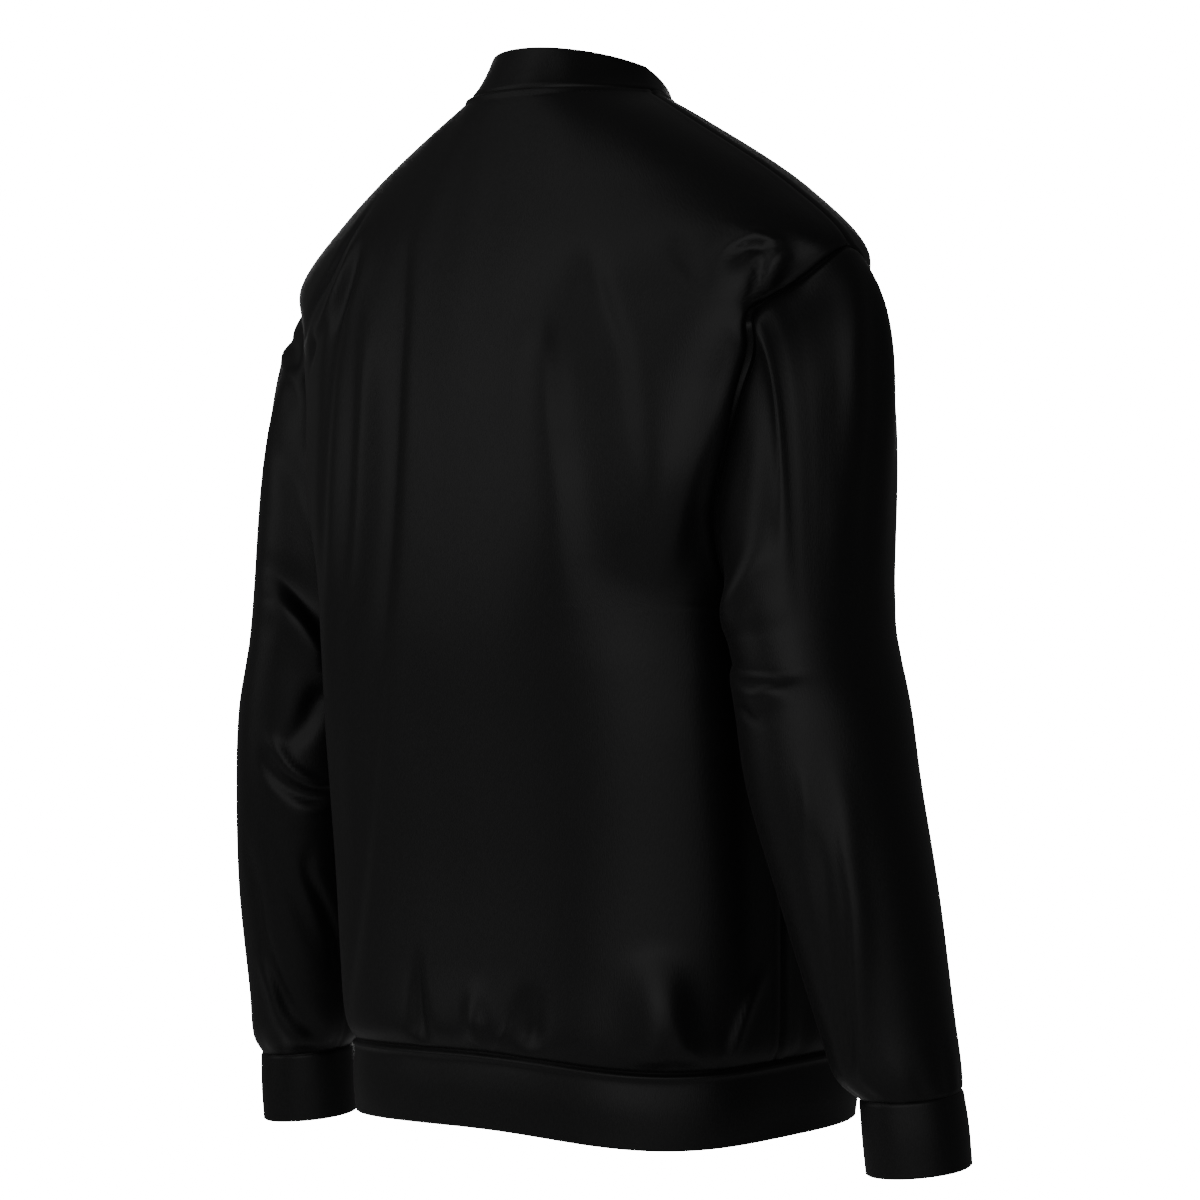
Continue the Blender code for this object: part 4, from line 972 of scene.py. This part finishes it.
def zip_line(half_width, count):
    """Even points up the jacket's front at a distance from its middle, and the outward normals."""
    lines = []
    for table, levels in (
        (HEM_BAND, np.linspace(0, 2, 40)[:-1]),
        (BODY, even_levels(BODY, 179, np.linspace(0, 1, 300))[:-1]),
        (COLLAR, np.linspace(0, 2, 40)),
    ):
        lines.append(oval(table, angle_at_front(table, levels, half_width), levels))
    line = np.concatenate(lines)
    run = np.concatenate([[0], np.cumsum(np.linalg.norm(np.diff(line, axis=0), axis=1))])
    even = np.linspace(0, run[-1], count)
    points = np.stack([np.interp(even, run, line[:, k]) for k in range(3)], axis=1)
    normals = np.cross((1.0, 0.0, 0.0), np.gradient(points, axis=0))
    return points, normals / np.linalg.norm(normals, axis=1, keepdims=True), even


def twill_cloth(name):
    """Black twill: fine slanting ribs from a wave across the tape's own map, dull and close."""
    mat, shader, node, wire = new_material(name)
    shader.inputs["Roughness"].default_value = 0.78
    shader.inputs["Specular IOR Level"].default_value = 0.25
    place, ribs = node("ShaderNodeUVMap"), node("ShaderNodeTexWave")
    place.uv_map = "cut"
    ribs.bands_direction = "DIAGONAL"
    ribs.inputs["Scale"].default_value = 320.0
    wire(place.outputs["UV"], ribs.inputs["Vector"])
    rib = ribs.outputs["Fac"]
    tinted(shader, node, wire, rib, (0.0035, 0.0035, 0.0037, 1), (0.0085, 0.0085, 0.0088, 1))
    embossed(shader, node, wire, rib, 0.6, 0.0002)
    return mat


zip_twill = twill_cloth("zip tape twill")
for side, word in ((1, "left"), (-1, "right")):
    columns = []
    for width in TAPE_WIDTHS[::side]:
        points, normals, run = zip_line(width, 300)
        behind = CLOTH + SEAM_GAP + COIL_ROOM * np.clip((COIL_ROOM_WIDTH - width) / COIL_ROOM_STEP, 0, 1)
        columns.append((points - behind * normals) * (side, 1, 1))
    tape = cloth_wall(f"tape_{word}", np.stack(columns, axis=1), thickness=TAPE_THICKNESS)
    tape.data.materials.append(zip_twill)
    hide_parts(f"zip_tape_{word}")
    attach(tape, "jacket")


# ---------------------------------------------------------------- zip coil
# The coil is two rows of nylon line wound in tight loops, one on each tape's edge, which mesh up the
# middle. It is closed all the way up, and ends under the slider.

COIL_PITCH, COIL_REACH, COIL_DEPTH, LINE_RADIUS, SLIDER_DROP = 0.0015, 0.0015, 0.0008, 0.00034, 0.0100
COIL_ASIDE, COIL_SINK, LOOP_STEPS, LINE_SIDES = 0.0006, 0.0011, 8, 4
coil_points, coil_normals, coil_run = zip_line(0.0, 600)
turns_up = np.arange(0, (coil_run[-1] - SLIDER_DROP) / COIL_PITCH, 1 / LOOP_STEPS)
coil_parts = []
for side in (1, -1):
    angle = 2 * np.pi * turns_up + (0 if side > 0 else np.pi)
    at = turns_up * COIL_PITCH
    middle = np.stack([np.interp(at, coil_run, coil_points[:, k]) for k in range(3)], axis=1)
    out = np.stack([np.interp(at, coil_run, coil_normals[:, k]) for k in range(3)], axis=1)
    across = side * (COIL_ASIDE + COIL_REACH * np.cos(angle))[:, None] * (1.0, 0.0, 0.0)
    centre = middle + across + out * (COIL_DEPTH * np.sin(angle) - COIL_SINK)[:, None]
    forward = np.gradient(centre, axis=0)
    forward /= np.linalg.norm(forward, axis=1, keepdims=True)
    first = np.cross(forward, (0.0, 0.0, 1.0))
    first /= np.linalg.norm(first, axis=1, keepdims=True)
    second = np.cross(forward, first)
    round_line = np.linspace(0, 2 * np.pi, LINE_SIDES, endpoint=False)[None, :, None]
    about = np.cos(round_line) * first[:, None] + np.sin(round_line) * second[:, None]
    coil_parts.append(centre[:, None] + LINE_RADIUS * about)


def tube_mesh(name, rings_of_parts):
    """A mesh of closed tubes: each part's rings are joined one to the next and capped at both ends."""
    points, faces, start = [], [], 0
    for rings in rings_of_parts:
        count, sides = rings.shape[:2]
        index = start + np.arange(count * sides).reshape(count, sides)
        beside = np.roll(index, -1, axis=1)
        faces += np.stack([index[:-1], beside[:-1], beside[1:], index[1:]], axis=-1).reshape(-1, 4).tolist()
        faces += [index[0, ::-1].tolist(), index[-1].tolist()]
        points.append(rings.reshape(-1, 3))
        start += count * sides
    mesh = bpy.data.meshes.new(name)
    mesh.from_pydata(np.concatenate(points).tolist(), [], faces)
    return placed(name, mesh)


def nylon(name, colour, roughness):
    """Moulded nylon: one near black with a faint grain in its gloss."""
    mat, shader, node, wire = new_material(name)
    shader.inputs["Base Color"].default_value = colour
    place, grains = node("ShaderNodeTexCoord"), node("ShaderNodeTexNoise")
    grains.inputs["Scale"].default_value = 900.0
    wire(place.outputs["Object"], grains.inputs["Vector"])
    glossed(shader, node, wire, grains.outputs["Fac"], roughness - 0.08, roughness + 0.08)
    return mat


coil = tube_mesh("coil_rows", coil_parts)
coil.data.materials.append(nylon("coil nylon", (0.009, 0.009, 0.0095, 1), 0.42))
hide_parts("zip_coil")
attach(coil, "jacket")


# ---------------------------------------------------------------- slider and pull
# The slider stands at the top of the closed zip, and its pull hangs from the bridge on its face. Both
# are die-cast and painted near black, with the paint worn thin in small spots.


def painted_metal(name):
    """Near-black paint over grey metal, which shows in the spots where noise runs high."""
    mat, shader, node, wire = new_material(name)
    place, scuffs = node("ShaderNodeTexCoord"), node("ShaderNodeTexNoise")
    scuffs.inputs["Scale"].default_value = 420.0
    scuffs.inputs["Detail"].default_value = 4.0
    wire(place.outputs["Object"], scuffs.inputs["Vector"])
    worn = node("ShaderNodeMapRange")
    worn.inputs["From Min"].default_value = 0.56
    worn.inputs["From Max"].default_value = 0.74
    wire(scuffs.outputs["Fac"], worn.inputs["Value"])
    tinted(shader, node, wire, worn.outputs["Result"], (0.020, 0.020, 0.021, 1), (0.085, 0.085, 0.088, 1))
    shader.inputs["Metallic"].default_value = 0.7
    glossed(shader, node, wire, scuffs.outputs["Fac"], 0.30, 0.48)
    return mat


def softened(name, node_name, radius):
    """A copy of a CAD node's mesh with its triangles joined and its edges rounded by a Bevel."""
    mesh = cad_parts[node_name].data.copy()
    mesh.name = name
    mesh.materials.clear()
    bm = bmesh.new()
    bm.from_mesh(mesh)
    bmesh.ops.remove_doubles(bm, verts=bm.verts, dist=0.000005)
    bmesh.ops.dissolve_limit(bm, angle_limit=math.radians(3), verts=bm.verts, edges=bm.edges)
    bm.to_mesh(mesh)
    bm.free()
    piece = placed(name, mesh)
    bevel = piece.modifiers.new("rounded edges", "BEVEL")
    bevel.width = radius
    bevel.segments = 3
    bevel.limit_method = "ANGLE"
    bevel.angle_limit = math.radians(35)
    mesh.set_sharp_from_angle(angle=math.radians(50))
    return piece


paint = painted_metal("worn black paint")
for name, node_name, body, radius in (
    ("slider_body", "zip_slider", "jacket", 0.00035),
    ("pull_tab", "zip_pull", "pull", 0.00030),
):
    piece = softened(name, node_name, radius)
    piece.data.materials.append(paint)
    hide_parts(node_name)
    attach(piece, body)


# ---------------------------------------------------------------- stitching
# One row of short black stitches holds the neck seam's allowance down, six millimetres below the
# collar, and one row runs up each turned front edge beside the zip.

STITCH_PITCH, STITCH_LENGTH, THREAD_RADIUS = 0.0031, 0.0023, 0.00022
NECK_ROW_DROP, NECK_ROW_END_DEG, NECK_ROW_SINK = 0.0060, 177, 0.00035
FRONT_ROW_ASIDE, FRONT_ROW_RISE = 0.0045, 0.0002
STITCH_SHAPE = np.array(
    [(0.00, 0.25, -0.6), (0.16, 0.9, 0.2), (0.5, 1.0, 0.6), (0.84, 0.9, 0.2), (1.00, 0.25, -0.6)]
)


def stitch_row(points, normals):
    """Rings of short arched stitches at even pitches along a path on the cloth.

    A stitch's row of rings goes from one end to the other: share of its length, share of the
    thread's radius, and how many radii its middle stands above the cloth.
    """
    run = np.concatenate([[0], np.cumsum(np.linalg.norm(np.diff(points, axis=0), axis=1))])
    starts = np.arange(STITCH_PITCH / 2, run[-1] - STITCH_LENGTH, STITCH_PITCH)
    at = starts[:, None] + STITCH_LENGTH * STITCH_SHAPE[:, 0]
    centre = np.stack([np.interp(at, run, points[:, k]) for k in range(3)], axis=-1)
    out = np.stack([np.interp(at, run, normals[:, k]) for k in range(3)], axis=-1)
    centre = centre + out * (THREAD_RADIUS * STITCH_SHAPE[:, 2])[:, None]
    forward = np.gradient(centre, axis=1)
    aside = np.cross(forward, out)
    aside /= np.linalg.norm(aside, axis=-1, keepdims=True)
    turn = np.linspace(0, 2 * np.pi, 5, endpoint=False)[:, None]
    radius = (THREAD_RADIUS * STITCH_SHAPE[:, 1])[:, None, None]
    rings = centre[:, :, None] + radius * (np.cos(turn) * out[:, :, None] + np.sin(turn) * aside[:, :, None])
    return list(rings)


neck_around = np.linspace(-NECK_ROW_END_DEG, NECK_ROW_END_DEG, 900)
per_level = oval(BODY, neck_around, np.full(900, NECK)) - oval(BODY, neck_around, np.full(900, NECK - 0.2))
neck_level = NECK - NECK_ROW_DROP * 0.2 / np.linalg.norm(per_level, axis=1)
neck_path = body_surface(neck_around, neck_level)
along = np.gradient(neck_path, axis=0)
neck_out = np.cross(body_surface(neck_around, neck_level + 0.05) - neck_path, along)
neck_out /= np.linalg.norm(neck_out, axis=1, keepdims=True)
rows_of_stitches = {"neck_stitches": stitch_row(neck_path - NECK_ROW_SINK * neck_out, neck_out)}
front_path, front_out, _ = zip_line(FRONT_EDGE + FRONT_ROW_ASIDE, 700)
for side, word in ((1, "left"), (-1, "right")):
    keep = slice(8, -8)
    rows_of_stitches[f"front_stitches_{word}"] = stitch_row(
        (front_path[keep] + FRONT_ROW_RISE * front_out[keep]) * (side, 1, 1), front_out[keep] * (side, 1, 1)
    )
thread = nylon("black thread", (0.012, 0.012, 0.0125, 1), 0.50)
for name, stitches in rows_of_stitches.items():
    row = tube_mesh(name, stitches)
    row.data.materials.append(thread)
    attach(row, "jacket")


# ---------------------------------------------------------------- studio
# A pale floor far below, a white surround, and broad soft lamps: one low and one high on the left of
# the back, one behind it, one on its right, and one that lights the front from the far side.

CENTRE = Vector((0.0, -0.02, -0.34))
SURROUND_STRENGTH, SEEN_STRENGTH = 0.067, 20.0
world = bpy.data.worlds.new("white studio")
bpy.context.scene.world = world
world.use_nodes = True
node, wire = world.node_tree.nodes.new, world.node_tree.links.new
surround = world.node_tree.nodes["Background"]
surround.inputs["Color"].default_value = (1, 1, 1, 1)
surround.inputs["Strength"].default_value = SURROUND_STRENGTH
seen = node("ShaderNodeBackground")
seen.inputs["Color"].default_value = (1, 1, 1, 1)
seen.inputs["Strength"].default_value = SEEN_STRENGTH
path, choose = node("ShaderNodeLightPath"), node("ShaderNodeMixShader")
wire(path.outputs["Is Camera Ray"], choose.inputs["Fac"])
wire(surround.outputs["Background"], choose.inputs[1])
wire(seen.outputs["Background"], choose.inputs[2])
wire(choose.outputs["Shader"], world.node_tree.nodes["World Output"].inputs["Surface"])

FLOOR_HALF, FLOOR_HEIGHT = 3.2, -1.45
floor_mesh = bpy.data.meshes.new("studio_floor")
floor_corners = [
    (x * FLOOR_HALF, y * FLOOR_HALF, FLOOR_HEIGHT) for x, y in ((-1, -1), (1, -1), (1, 1), (-1, 1))
]
floor_mesh.from_pydata(floor_corners, [], [(0, 1, 2, 3)])
floor = bpy.data.objects.new("studio_floor", floor_mesh)
bpy.context.scene.collection.objects.link(floor)
floor_paint, floor_shader, _, _ = new_material("pale floor")
floor_shader.inputs["Base Color"].default_value = (0.85, 0.85, 0.85, 1)
floor_shader.inputs["Roughness"].default_value = 0.9
floor_mesh.materials.append(floor_paint)

# Each lamp's name, azimuth, elevation, distance, size and power in watts.
LAMPS = (
    ("left low", 145.0, 12.0, 3.1, 2.0, 7.3),
    ("left high", 158.0, 45.0, 3.1, 2.0, 6.2),
    ("behind", 205.0, 10.0, 3.1, 2.0, 11.9),
    ("right", 240.0, 8.0, 3.1, 2.0, 7.4),
    ("front", 47.0, 6.0, 3.1, 1.8, 13.0),
)
for name, azimuth, elevation, distance, size, watts in LAMPS:
    lamp = bpy.data.lights.new(name, "AREA")
    lamp.energy = watts
    lamp.size = size
    holder = bpy.data.objects.new(name, lamp)
    bpy.context.scene.collection.objects.link(holder)
    a, e = math.radians(azimuth), math.radians(elevation)
    away = Vector((math.sin(a) * math.cos(e), -math.cos(a) * math.cos(e), math.sin(e)))
    holder.location = CENTRE + distance * away
    holder.rotation_euler = away.to_track_quat("Z", "Y").to_euler()

CAMERA_TURN_DEG, CAMERA_DISTANCE, CAMERA_HEIGHT = 47.0, 3.22, -0.4035
CAMERA_LENS_MM, SENSOR_MM, SHIFT_X, SHIFT_Y = 147.0, 36.0, 0.0254, 0.0958
camera = bpy.data.cameras.new("camera")
camera.sensor_width = SENSOR_MM
camera.lens = CAMERA_LENS_MM
camera.shift_x = SHIFT_X
camera.shift_y = SHIFT_Y
eye = bpy.data.objects.new("camera", camera)
bpy.context.scene.collection.objects.link(eye)
turn = math.radians(CAMERA_TURN_DEG)
eye.location = (-math.sin(turn) * CAMERA_DISTANCE, math.cos(turn) * CAMERA_DISTANCE, CAMERA_HEIGHT)
eye.rotation_euler = (math.pi / 2, 0, math.pi + turn)
bpy.context.scene.camera = eye
